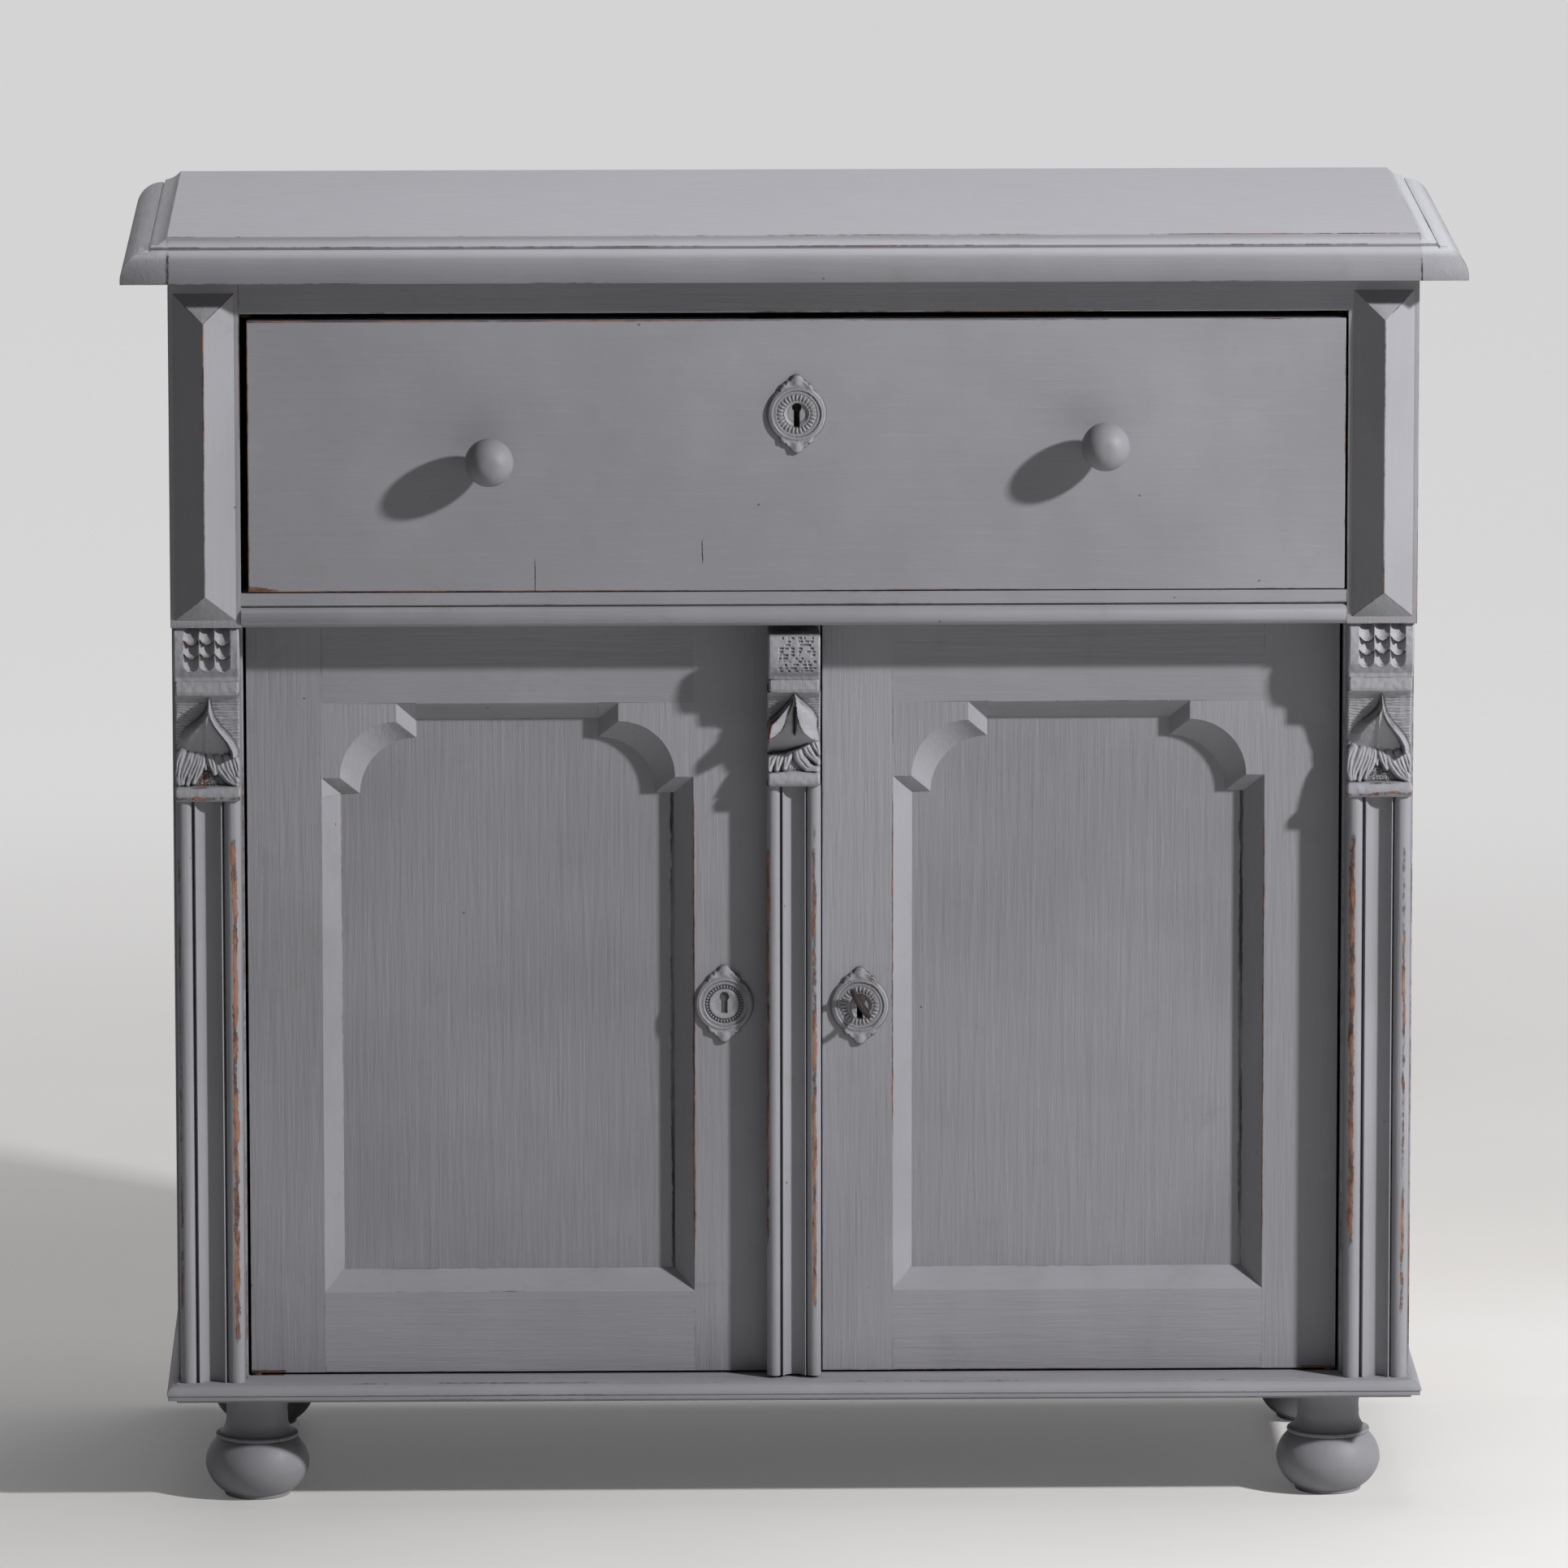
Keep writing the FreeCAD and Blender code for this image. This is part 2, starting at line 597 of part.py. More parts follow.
def foot_places():
    """Return the name, X and Y of each foot."""
    side_place = "base_half - foot_inset"
    rows = {"front": "base_front + foot_inset", "back": "carcass_back - foot_back_inset"}
    return [
        (f"foot_{row}_{name}", f"{side} * ({side_place})", y)
        for row, y in rows.items()
        for side, name in SIDE_NAMES.items()
    ]


def make_base():
    """Bottom board with its moulding on three sides."""
    strip_back = "base_front + base_strip_width"
    inner = "base_half - base_strip_width"
    front = padded(
        "YZ_Plane",
        base_edge("base_front", "+") + [(strip_back, "base_top"), (strip_back, "foot_height")],
        "2 * (base_half)",
        "BaseFrontProfile",
    )
    place(front, x="-(base_half)")
    ends = padded(
        "XZ_Plane",
        mirrored_outline(base_edge("-(base_half)", "+")),
        "carcass_back - (base_front)",
        "BaseEndProfile",
    )
    place(ends, y="carcass_back")
    node(shared([front, ends]), "base_moulding_front")
    height = ("foot_height", "base_top")
    strips = [
        shared([ends, box(span(side, inner, "base_half"), (strip_back, "carcass_back"), height)])
        for side in SIDE_NAMES
    ]
    node(grouped(strips), "base_moulding_sides")
    board = box((f"-({inner})", inner), (strip_back, "carcass_back"), height)
    holes = [
        cylinder(
            "foot_tenon_radius + tenon_clearance",
            "foot_tenon_length + tenon_clearance + overrun",
            x,
            y,
            "foot_height - overrun",
        )
        for name, x, y in foot_places()
    ]
    recesses = [
        box(
            pivot_plate_span(side),
            PIVOT_PLATE_DEPTH,
            ("base_top - pivot_plate_thickness", "base_top + overrun"),
        )
        for side in SIDE_NAMES
    ]
    node(cut(board, holes + recesses), "bottom_board")


def make_feet():
    """Four turned bun feet, each with a tenon."""
    rim_bottom = "foot_shoulder_level"
    rim_top = "foot_shoulder_level + foot_rim_thickness"
    top_edge = "foot_height - foot_top_height"
    outline = [
        ("0", "0"),
        ("foot_pad_radius", "0"),
        ("foot_pad_radius", "foot_pad_height"),
        ("foot_ball_radius", "foot_ball_level", "foot_lower_curve", -1),
        ("foot_shoulder_radius", rim_bottom, "foot_upper_curve", -1),
        ("foot_rim_radius", f"{rim_bottom} + foot_rim_thickness / 2"),
        ("foot_shoulder_radius", rim_top),
        ("foot_neck_radius", "foot_neck_level", "foot_neck_curve", 1),
        ("foot_top_radius", top_edge, "foot_top_curve", 1),
        ("foot_top_radius", "foot_height"),
        ("foot_tenon_radius", "foot_height"),
        ("foot_tenon_radius", "foot_height + foot_tenon_length"),
        ("0", "foot_height + foot_tenon_length"),
    ]
    for name, x, y in foot_places():
        node(place(turned("XZ_Plane", outline), x, y), name)


def make_casing():
    """Side panels, back boards, front posts and the two rails between the posts."""
    height = ("base_top", "carcass_top")
    for side, name in SIDE_NAMES.items():
        panel = box(span(side, "side_inner", "carcass_half"), ("post_back", "carcass_back"), height)
        node(panel, f"side_panel_{name}")
        post = box(span(side, "post_inner", "carcass_half"), ("post_front", "post_back"), height)
        node(post, f"front_post_{name}")
    boards = []
    pitch = f"(2 * (side_inner) + back_board_gap) / {BACK_BOARDS}"
    for index in range(BACK_BOARDS):
        left = f"-(side_inner) + {index} * {pitch}"
        width = (left, f"{left} + {pitch} - back_board_gap")
        boards.append(box(width, ("back_inner", "carcass_back"), height))
    node(grouped(boards), "back_boards")
    make_rails()


def make_rails():
    """Plain top rail with the drawer bolt's mortise, and the moulded middle rail."""
    width = ("-(post_inner)", "post_inner")
    rail = box(width, ("frame_front", "frame_front + top_rail_depth"), ("top_rail_bottom", "carcass_top"))
    bolt_front = "lock_front + lock_depth / 2 - bolt_thickness / 2"
    mortise = box(
        ("drawer_shift - bolt_height - bolt_slack", "drawer_shift + bolt_height + bolt_slack"),
        (f"{bolt_front} - bolt_slack", f"{bolt_front} + bolt_thickness + bolt_slack"),
        ("top_rail_bottom - overrun", "top_rail_bottom + drawer_bolt_throw"),
    )
    node(cut(rail, [mortise]), "top_rail")
    quirk_top = "mid_rail_top - mid_rail_fascia"
    quirk_bottom = f"{quirk_top} - mid_rail_quirk"
    inset = "frame_front + mid_rail_undercut"
    outline = [
        ("frame_front", "mid_rail_top"),
        ("frame_front", quirk_top),
        (inset, quirk_top),
        (inset, quirk_bottom),
        (inset, "mid_rail_bottom", "mid_rail_round_radius", -1),
        ("mid_rail_back", "mid_rail_bottom"),
        ("mid_rail_back", "mid_rail_top"),
    ]
    body = place(padded("YZ_Plane", outline, "2 * (post_inner)", "MidRail"), x="-(post_inner)")
    recesses = [
        box(
            pivot_plate_span(side),
            PIVOT_PLATE_DEPTH,
            ("mid_rail_bottom - overrun", "mid_rail_bottom + pivot_plate_thickness"),
        )
        for side in SIDE_NAMES
    ]
    bolt_hole = cylinder(
        "slide_bolt_hole_radius",
        "slide_bolt_throw + 2 * overrun",
        "slide_bolt_place",
        "slide_bolt_depth",
        "mid_rail_bottom - overrun",
    )
    node(cut(body, recesses + [bolt_hole]), "mid_rail")


def make_diamond_blocks():
    """Blocks beside the drawer, each with a long hipped ridge."""
    bottom = "mid_rail_bottom + diamond_border_bottom"
    top = "carcass_top - diamond_border_top"
    for side, name in SIDE_NAMES.items():
        block = box(
            span(side, "post_inner", "carcass_half"),
            ("frame_front", "post_front"),
            ("mid_rail_bottom", "carcass_top"),
        )
        facets = doc.addObject("Part::Wedge", "Facets")
        facets.Placement.Rotation = FreeCAD.Rotation(Vector(0, 0, 1), 180)
        half = "post_width / 2 - diamond_border_side"
        bind(
            facets,
            Xmin=f"-({half})",
            Xmax=half,
            Ymin="0",
            Ymax="diamond_rise",
            Zmin=bottom,
            Zmax=top,
            X2min="-diamond_ridge_width / 2",
            X2max="diamond_ridge_width / 2",
            Z2min=f"{bottom} + diamond_hip",
            Z2max=f"{top} - diamond_hip",
        )
        place(facets, f"{side} * (post_middle)", "frame_front")
        node(fused([block, facets]), f"diamond_block_{name}")


def shaft_outline(kind):
    """Return the section of a shaft: a reed, a wide flute and a reed. Its front is towards -Y."""
    half = f"{kind}_shaft_width / 2"
    reed = f"{kind}_reed_width"
    crest = f"-{kind}_shaft_reach"
    shoulder = f"{crest} + {reed} / 2"
    edge = f"{crest} + flute_edge_drop"
    left = [
        (f"-{half}", "0"),
        (f"-{half}", shoulder),
        (f"-{half} + {reed} / 2", crest, f"{reed} / 2", -1),
        (f"-{half} + {reed}", shoulder, f"{reed} / 2", -1),
        (f"-{half} + {reed}", f"{shoulder} + reed_quirk"),
        (f"-{half} + {reed} + {kind}_arris_width", edge),
    ]
    outline = mirrored_outline(left)
    flute_end = len(left)
    outline[flute_end] = outline[flute_end][:2] + (f"{kind}_flute_radius", 1)
    return outline


def make_capital(kind, x, y, top, label):
    """Capital of a pilaster: block, fillet, bud, leaf collar and rolled collar, on its ground.

    kind names its sizes, x is its middle, y the face that it stands on and top its upper end.
    """
    half_block = f"{kind}_block_width / 2"
    half_shaft = f"{kind}_shaft_width / 2"
    fillet_top = f"{top} - {kind}_block_height"
    ground_top = f"{fillet_top} - {kind}_fillet_height"
    belly = f"{ground_top} - {kind}_bud_point"
    leaf_top = f"{belly} - {kind}_bud_belly"
    collar_top = f"{leaf_top} - {kind}_leaf_height"
    axis = f"-{kind}_bud_axis_reach"

    def slab(half, reach, high, low):
        return box((f"{x} - {half}", f"{x} + {half}"), (f"{y} - {reach}", y), (low, high))

    bud = turned(
        "YZ_Plane",
        [
            ("0", f"{kind}_bud_point"),
            (f"-{kind}_bud_radius", "0", f"{kind}_bud_curve", -1),
            (f"-{kind}_leaf_waist", f"-{kind}_bud_belly", f"{kind}_bud_belly", -1),
            (f"-{kind}_leaf_radius", f"-{kind}_bud_belly - {kind}_leaf_height"),
            ("0", f"-{kind}_bud_belly - {kind}_leaf_height"),
        ],
        "Bud",
        half=True,
    )
    place(bud, x, f"{y} + {axis}", belly)
    pieces = [
        slab(half_block, f"{kind}_block_reach", top, fillet_top),
        slab(half_shaft, f"{kind}_fillet_reach", fillet_top, ground_top),
        slab(half_shaft, f"{kind}_ground_reach", ground_top, collar_top),
        slab(half_shaft, f"{kind}_collar_reach", collar_top, f"{collar_top} - {kind}_collar_height"),
        bud,
    ]
    node(fused(pieces), label)


def make_side_pilasters():
    """Shaft and capital on each front post."""
    for side, name in SIDE_NAMES.items():
        x = f"{side} * (post_middle)"
        shaft = padded("XY_Plane", shaft_outline("side"), "side_capital_bottom - (base_top)")
        node(place(shaft, x, "post_front", "base_top"), f"pilaster_shaft_{name}")
        make_capital("side", x, "post_front", "mid_rail_bottom", f"capital_{name}")


def door_opening(outer, inner, bottom, top):
    """Return the opening's outline: square below, with stepped round corners above."""
    step = "corner_step"
    size = "corner_size"
    return [
        (inner, bottom),
        (outer, bottom),
        (outer, f"{top} - {size}"),
        (f"{outer} - {step}", f"{top} - {size}"),
        (f"{outer} - {size}", f"{top} - {step}", "corner_radius", -1),
        (f"{outer} - {size}", top),
        (f"{inner} + {size}", top),
        (f"{inner} + {size}", f"{top} - {step}"),
        (f"{inner} + {step}", f"{top} - {size}", "corner_radius", -1),
        (inner, f"{top} - {size}"),
    ]


def on_side(side, points):
    """Return an outline drawn for the right side, mirrored for the left one where needed."""
    if side == RIGHT:
        return points
    return [
        (f"-({point[0]})", point[1]) + ((point[2], -point[3]) if len(point) > 2 else ())
        for point in points
    ]


def make_bevel_cutter(side):
    """Solid of the bevelled opening in front of a door panel."""
    face = door_opening("open_outer", "open_inner", "open_bottom", "open_top")
    floor = door_opening(
        "(open_outer - bevel_width)",
        "(open_inner + bevel_width)",
        "(open_bottom + bevel_width)",
        "(open_top - bevel_width)",
    )
    loft = doc.addObject("Part::Loft", "BevelledOpening")
    loft.Sections = [
        upright_sketch(on_side(side, face), "door_front", "OpeningAtFace"),
        upright_sketch(on_side(side, floor), "panel_front", "OpeningAtPanel"),
    ]
    loft.Solid = True
    loft.Ruled = True
    return loft


def door_member(side, points, tools, label):
    """Make a frame member of a door from its outline in the front view."""
    blank = place(padded("XZ_Plane", on_side(side, points), "door_thickness", "Member"), y="door_back")
    return node(cut(blank, tools), label)


def stile_outline(edge, opening, inward):
    """Return the outline of a stile with its share of the bevels, mitred at both ends."""
    lip = f"{opening} {inward} bevel_width"
    return [
        (edge, "door_bottom"),
        (opening, "door_bottom"),
        (opening, "open_bottom"),
        (lip, "open_bottom + bevel_width"),
        (lip, "open_top - bevel_width"),
        (opening, "open_top"),
        (opening, "door_top"),
        (edge, "door_top"),
    ]


def rail_outline(edge, opening, inward):
    """Return the outline of a rail with its share of the bevels, mitred at both ends."""
    return [
        ("open_inner", edge),
        ("open_outer", edge),
        ("open_outer", opening),
        ("open_outer - bevel_width", f"{opening} {inward} bevel_width"),
        ("open_inner + bevel_width", f"{opening} {inward} bevel_width"),
        ("open_inner", opening),
    ]


def pivot_cuts(side):
    """Recesses for the socket plates and bores for the pins in the ends of a hinge stile."""
    plate = span(side, "door_hinge_edge - pivot_plate_length", "door_hinge_edge + overrun")
    depth = ("door_front - overrun", "door_front + pivot_plate_width")
    bore_radius = "pivot_pin_radius + pivot_bore_clearance"
    x = f"{side} * (pivot_place)"
    deep = "pivot_pin_engage + overrun"
    return [
        box(plate, depth, ("door_bottom - overrun", "door_bottom + pivot_plate_thickness")),
        box(plate, depth, ("door_top - pivot_plate_thickness", "door_top + overrun")),
        cylinder(bore_radius, f"{deep} + overrun", x, "pivot_front", "door_bottom - overrun"),
        cylinder(bore_radius, f"{deep} + overrun", x, "pivot_front", f"door_top - ({deep})"),
    ]


def make_pivot_sockets(side, name):
    """Plates with a bearing hole, let into both ends of a door."""
    plates = []
    for low, high in (
        ("door_bottom", "door_bottom + pivot_plate_thickness"),
        ("door_top - pivot_plate_thickness", "door_top"),
    ):
        plate = box(
            span(side, "door_hinge_edge - pivot_plate_length", "door_hinge_edge"),
            ("door_front", "door_front + pivot_plate_width"),
            (low, high),
        )
        hole = cylinder(
            "pivot_pin_radius + pivot_clearance",
            "pivot_plate_thickness + 2 * overrun",
            f"{side} * (pivot_place)",
            "pivot_front",
            f"{low} - overrun",
        )
        plates.append(cut(plate, [hole]))
    node(grouped(plates), f"{name}_door_pivot_sockets")


def make_carcass_pivots():
    """Plates with a pin, let into the bottom board and the middle rail."""
    pins = []
    reach = "door_gap_end + pivot_pin_engage"
    for side in SIDE_NAMES:
        for low, high, pin_start in (
            ("base_top - pivot_plate_thickness", "base_top", "base_top"),
            (
                "mid_rail_bottom",
                "mid_rail_bottom + pivot_plate_thickness",
                f"mid_rail_bottom - ({reach})",
            ),
        ):
            plate = box(pivot_plate_span(side), PIVOT_PLATE_DEPTH, (low, high))
            x = f"{side} * (pivot_place)"
            pieces = [plate, cylinder("pivot_pin_radius", reach, x, "pivot_front", pin_start)]
            if pin_start == high:
                rise = "door_gap_end - fit_gap"
                pieces.append(cylinder("pivot_shoulder_radius", rise, x, "pivot_front", high))
            pins.append(fused(pieces))
    node(grouped(pins), "carcass_pivot_plates")


def make_door(side, free_edge, keyhole):
    """Frame, corner blocks and panel of a door.

    free_edge is the edge at the middle, measured like open_inner, and keyhole holds tools that
    pierce the meeting stile.
    """
    name = SIDE_NAMES[side]
    bevel = make_bevel_cutter(side)
    rebate = box(
        span(side, "rebate_inner", "rebate_outer"),
        ("panel_front", "door_back + overrun"),
        ("rebate_bottom", "rebate_top"),
        "Rebate",
    )
    corner_height = ("open_top - corner_block", "open_top")
    corner_depth = ("door_front", "panel_front")
    corners = [
        box(span(side, "open_inner", "open_inner + corner_block"), corner_depth, corner_height),
        box(span(side, "open_outer - corner_block", "open_outer"), corner_depth, corner_height),
    ]
    tools = [bevel, rebate] + corners
    door_member(
        side,
        stile_outline("door_hinge_edge", "open_outer", "-"),
        tools + pivot_cuts(side),
        f"{name}_door_hinge_stile",
    )
    door_member(
        side,
        stile_outline(free_edge, "open_inner", "+"),
        tools + keyhole,
        f"{name}_door_meeting_stile",
    )
    door_member(side, rail_outline("door_top", "open_top", "-"), tools, f"{name}_door_top_rail")
    door_member(side, rail_outline("door_bottom", "open_bottom", "+"), tools, f"{name}_door_bottom_rail")
    node(grouped([cut(corner, [bevel]) for corner in corners]), f"{name}_door_corner_blocks")
    panel = box(
        span(side, "rebate_inner + panel_clearance", "rebate_outer - panel_clearance"),
        ("panel_front", "panel_front + panel_thickness"),
        ("rebate_bottom + panel_clearance", "rebate_top - panel_clearance"),
    )
    node(panel, f"{name}_door_panel")
    make_pivot_sockets(side, name)


def keyhole_tools(x, level, front, back):
    """Tools that cut a keyhole through a stretch from front to back."""
    run = f"{back} - ({front})"
    return [
        cylinder("keyhole_radius", run, x, back, f"{level} + keyhole_rise", Vector(0, -1, 0)),
        box(
            (f"{x} - keyhole_slot_width / 2", f"{x} + keyhole_slot_width / 2"),
            (front, back),
            (f"{level} - keyhole_drop", f"{level} + keyhole_rise"),
        ),
    ]


def make_escutcheon(x, face, level, label, depth):
    """Pointed oval plate on a face. depth is how deep its keyhole goes."""
    curve = "(plate_half_width * plate_half_width + plate_half_height * plate_half_height)"
    radius = f"{curve} / (2 * plate_half_width)"
    outline = [
        ("0", "-plate_half_height"),
        ("plate_half_width", "0", radius, -1),
        ("0", "plate_half_height", radius, -1),
        ("-plate_half_width", "0", radius, -1),
        ("0", "-plate_half_height", radius, -1),
    ][1:]
    plate = place(padded("XZ_Plane", outline, "plate_thickness", "Plate"), x, face, level)
    front = f"{face} - plate_thickness"
    hole = keyhole_tools(x, level, f"{front} - overrun", f"{front} + {depth}")
    node(cut(plate, hole), label)


def make_drawer():
    """Drawer box, its knobs and its escutcheon."""
    shift = "drawer_shift"
    front = box(
        (f"{shift} - (drawer_half)", f"{shift} + drawer_half"),
        ("frame_front", "drawer_front_back"),
        ("drawer_bottom_edge", "drawer_top_edge"),
    )
    floor_half = "drawer_inner_half + drawer_groove_depth"
    groove = box(
        (f"{shift} - ({floor_half}) - groove_clearance", f"{shift} + {floor_half} + groove_clearance"),
        ("drawer_front_back - drawer_groove_depth - groove_clearance", "drawer_back + overrun"),
        ("drawer_floor - groove_clearance", "drawer_floor_top + groove_clearance"),
        "BottomGroove",
    )
    lock_recess = box(
        (f"{shift} - lock_half_width", f"{shift} + lock_half_width"),
        ("lock_front", "drawer_front_back + overrun"),
        ("drawer_key_level - lock_below_key", "drawer_top_edge + overrun"),
    )
    knobs = {
        "left": (f"{shift} - knob_spacing / 2", "drawer_bottom_edge + knob_left_rise"),
        "right": (f"{shift} + knob_spacing / 2", "drawer_bottom_edge + knob_right_rise"),
    }
    knob_holes = [
        cylinder(
            "knob_tenon_radius + tenon_clearance",
            "knob_tenon_length + tenon_clearance + overrun",
            x,
            "frame_front - overrun",
            z,
            Vector(0, 1, 0),
        )
        for x, z in knobs.values()
    ]
    keyhole = keyhole_tools(shift, "drawer_key_level", "frame_front - overrun", "lock_front + overrun")
    node(cut(front, [groove, lock_recess] + knob_holes + keyhole), "drawer_front")
    for side, name in SIDE_NAMES.items():
        low, high = span(side, "drawer_inner_half", "drawer_side_half")
        plank = box(
            (f"{shift} + {low}", f"{shift} + {high}"),
            ("drawer_front_back", "drawer_back"),
            ("drawer_side_bottom", "drawer_side_top"),
        )
        node(cut(plank, [groove]), f"drawer_side_{name}")
        x, z = knobs[name]
        make_knob(x, z, f"knob_{name}")
    back = box(
        (f"{shift} - (drawer_inner_half)", f"{shift} + drawer_inner_half"),
        ("drawer_back - drawer_side_thickness", "drawer_back"),
        ("drawer_floor_top", "drawer_side_top"),
    )
    node(back, "drawer_back")
    node(
        box(
            (f"{shift} - ({floor_half})", f"{shift} + {floor_half}"),
            ("drawer_front_back - drawer_groove_depth", "drawer_back"),
            ("drawer_floor", "drawer_floor_top"),
        ),
        "drawer_bottom",
    )
    through = "plate_thickness + overrun"
    make_escutcheon(shift, "frame_front", "drawer_key_level", "drawer_escutcheon", through)


def make_knob(x, z, label):
    """Turned ball knob with a tenon, its axis along Y."""
    flange = "-knob_flange_thickness"
    ball_start = "-knob_reach + sqrt(knob_radius ^ 2 - knob_neck_radius ^ 2)"
    outline = [
        ("0", "knob_tenon_length"),
        ("knob_tenon_radius", "knob_tenon_length"),
        ("knob_tenon_radius", "0"),
        ("knob_flange_radius", "0"),
        ("knob_flange_radius", flange),
        ("knob_neck_radius", flange),
        ("knob_neck_radius", ball_start),
        ("knob_radius", "-knob_reach", "knob_radius", 1),
        ("0", "-knob_reach - knob_radius", "knob_radius", 1),
    ]
    node(place(turned("XY_Plane", outline), x, "frame_front", z), label)


def make_runners():
    """Runners with guides under the drawer, and kickers above it."""
    strips = []
    for side in SIDE_NAMES:
        drawer_edge = f"drawer_side_half + {side} * drawer_shift"
        guide_x = span(side, f"{drawer_edge} + guide_gap", "side_inner")
        runner = box(
            span(side, "side_inner - runner_width", "side_inner"),
            ("mid_rail_back", "back_inner"),
            ("mid_rail_top - runner_height", "mid_rail_top"),
        )
        guide = box(guide_x, ("mid_rail_back", "back_inner"), ("mid_rail_top", "mid_rail_top + guide_height"))
        strips.append(fused([runner, guide]))
        strips.append(
            box(
                span(side, "side_inner - runner_width", "side_inner"),
                ("frame_front + top_rail_depth", "back_inner"),
                ("drawer_side_top + kicker_gap", "carcass_top"),
            )
        )
    node(grouped(strips), "drawer_runners")


def make_shelf():
    """Shelf on two battens inside the cupboard."""
    depth = ("door_back + shelf_setback", "back_inner - fit_gap")
    width = ("-(side_inner) + fit_gap", "side_inner - fit_gap")
    node(box(width, depth, ("shelf_level - shelf_thickness", "shelf_level")), "shelf")
    battens = [
        box(
            span(side, "side_inner - batten_width", "side_inner"),
            depth,
            ("shelf_level - shelf_thickness - batten_height", "shelf_level - shelf_thickness"),
        )
        for side in SIDE_NAMES
    ]
    node(grouped(battens), "shelf_battens")


def make_drawer_lock():
    """Lock case in the back of the drawer front, and the bolt that rises from it."""
    x = "drawer_shift"
    bottom = "drawer_key_level - lock_below_key"
    back = "lock_front + lock_depth"
    width = (f"{x} - lock_half_width", f"{x} + lock_half_width")
    case = box(width, ("lock_front", back), (bottom, "drawer_top_edge"))
    cavity = box(
        (f"{x} - lock_half_width + lock_wall", f"{x} + lock_half_width - lock_wall"),
        ("lock_front - overrun", f"{back} - lock_wall"),
        (f"{bottom} + lock_wall", "drawer_top_edge - lock_wall"),
    )
    bolt_front = "lock_front + lock_depth / 2 - bolt_thickness / 2"
    bolt_x = (f"{x} - bolt_height", f"{x} + bolt_height")
    slot = box(
        (f"{x} - bolt_height - bolt_slack", f"{x} + bolt_height + bolt_slack"),
        (f"{bolt_front} - bolt_slack", f"{bolt_front} + bolt_thickness + bolt_slack"),
        ("drawer_top_edge - lock_wall - overrun", "drawer_top_edge + overrun"),
    )
    node(cut(case, [cavity, slot]), "drawer_lock")
    bolt = box(
        bolt_x,
        (bolt_front, f"{bolt_front} + bolt_thickness"),
        ("drawer_top_edge - bolt_length", "drawer_top_edge"),
    )
    node(bolt, "drawer_lock_bolt")


def make_right_lock():
    """Lock case behind the right door's meeting stile, and its bolt."""
    bottom = "right_key_level - lock_below_key"
    top = "right_key_level + lock_above_key"
    right = "lock_left + lock_length"
    back = "door_back + lock_depth"
    bolt_front = "door_back + lock_depth / 2 - bolt_thickness / 2"
    bolt_bottom = "right_key_level + bolt_above_key"
    case = box(("lock_left", right), ("door_back", back), (bottom, top))
    cavity = box(
        ("lock_left + lock_wall", f"{right} - lock_wall"),
        ("door_back - overrun", f"{back} - lock_wall"),
        (f"{bottom} + lock_wall", f"{top} - lock_wall"),
    )
    slot = box(
        ("lock_left - overrun", "lock_left + lock_wall + overrun"),
        (f"{bolt_front} - bolt_slack", f"{bolt_front} + bolt_thickness + bolt_slack"),
        (f"{bolt_bottom} - bolt_slack", f"{bolt_bottom} + bolt_height + bolt_slack"),
    )
    node(cut(case, [cavity, slot]), "right_door_lock")
    bolt = box(
        ("lock_left", "lock_left + bolt_length"),
        (bolt_front, f"{bolt_front} + bolt_thickness"),
        (bolt_bottom, f"{bolt_bottom} + bolt_height"),
    )
    node(bolt, "right_door_lock_bolt")


def make_left_bolt():
    """Round slide bolt behind the left door, in two staples on a plate."""
    x = "slide_bolt_place"
    top = "slide_bolt_top"
    plate_back = "door_back + slide_plate_thickness"
    plate_top = f"{top} - slide_bolt_throw - overrun"
    plate_bottom = f"{plate_top} - slide_plate_height"
    plate = box(
        (f"{x} - slide_plate_width / 2", f"{x} + slide_plate_width / 2"),
        ("door_back", plate_back),
        (plate_bottom, plate_top),
    )
    staples = [
        box(
            (f"{x} - slide_staple_width / 2", f"{x} + slide_staple_width / 2"),
            (plate_back, "slide_bolt_depth + slide_staple_width / 2"),
            (low, f"{low} + slide_staple_height"),
        )
        for low in (plate_bottom, f"{plate_top} - slide_staple_height")
    ]
    bore = cylinder(
        "slide_bolt_radius + slide_bolt_clearance",
        "slide_plate_height + 2 * overrun",
        x,
        "slide_bolt_depth",
        f"{plate_bottom} - overrun",
    )
    node(cut(fused([plate] + staples), [bore]), "left_door_bolt_plate")
    rod_start = f"{top} - slide_bolt_length"
    rod = cylinder("slide_bolt_radius", "slide_bolt_length", x, "slide_bolt_depth", rod_start)
    grip = cylinder(
        "slide_bolt_grip_radius",
        "slide_bolt_grip_length",
        x,
        "slide_bolt_depth",
        f"{plate_bottom} + slide_plate_height / 2",
        Vector(0, 1, 0),
    )
    node(fused([rod, grip]), "left_door_bolt")


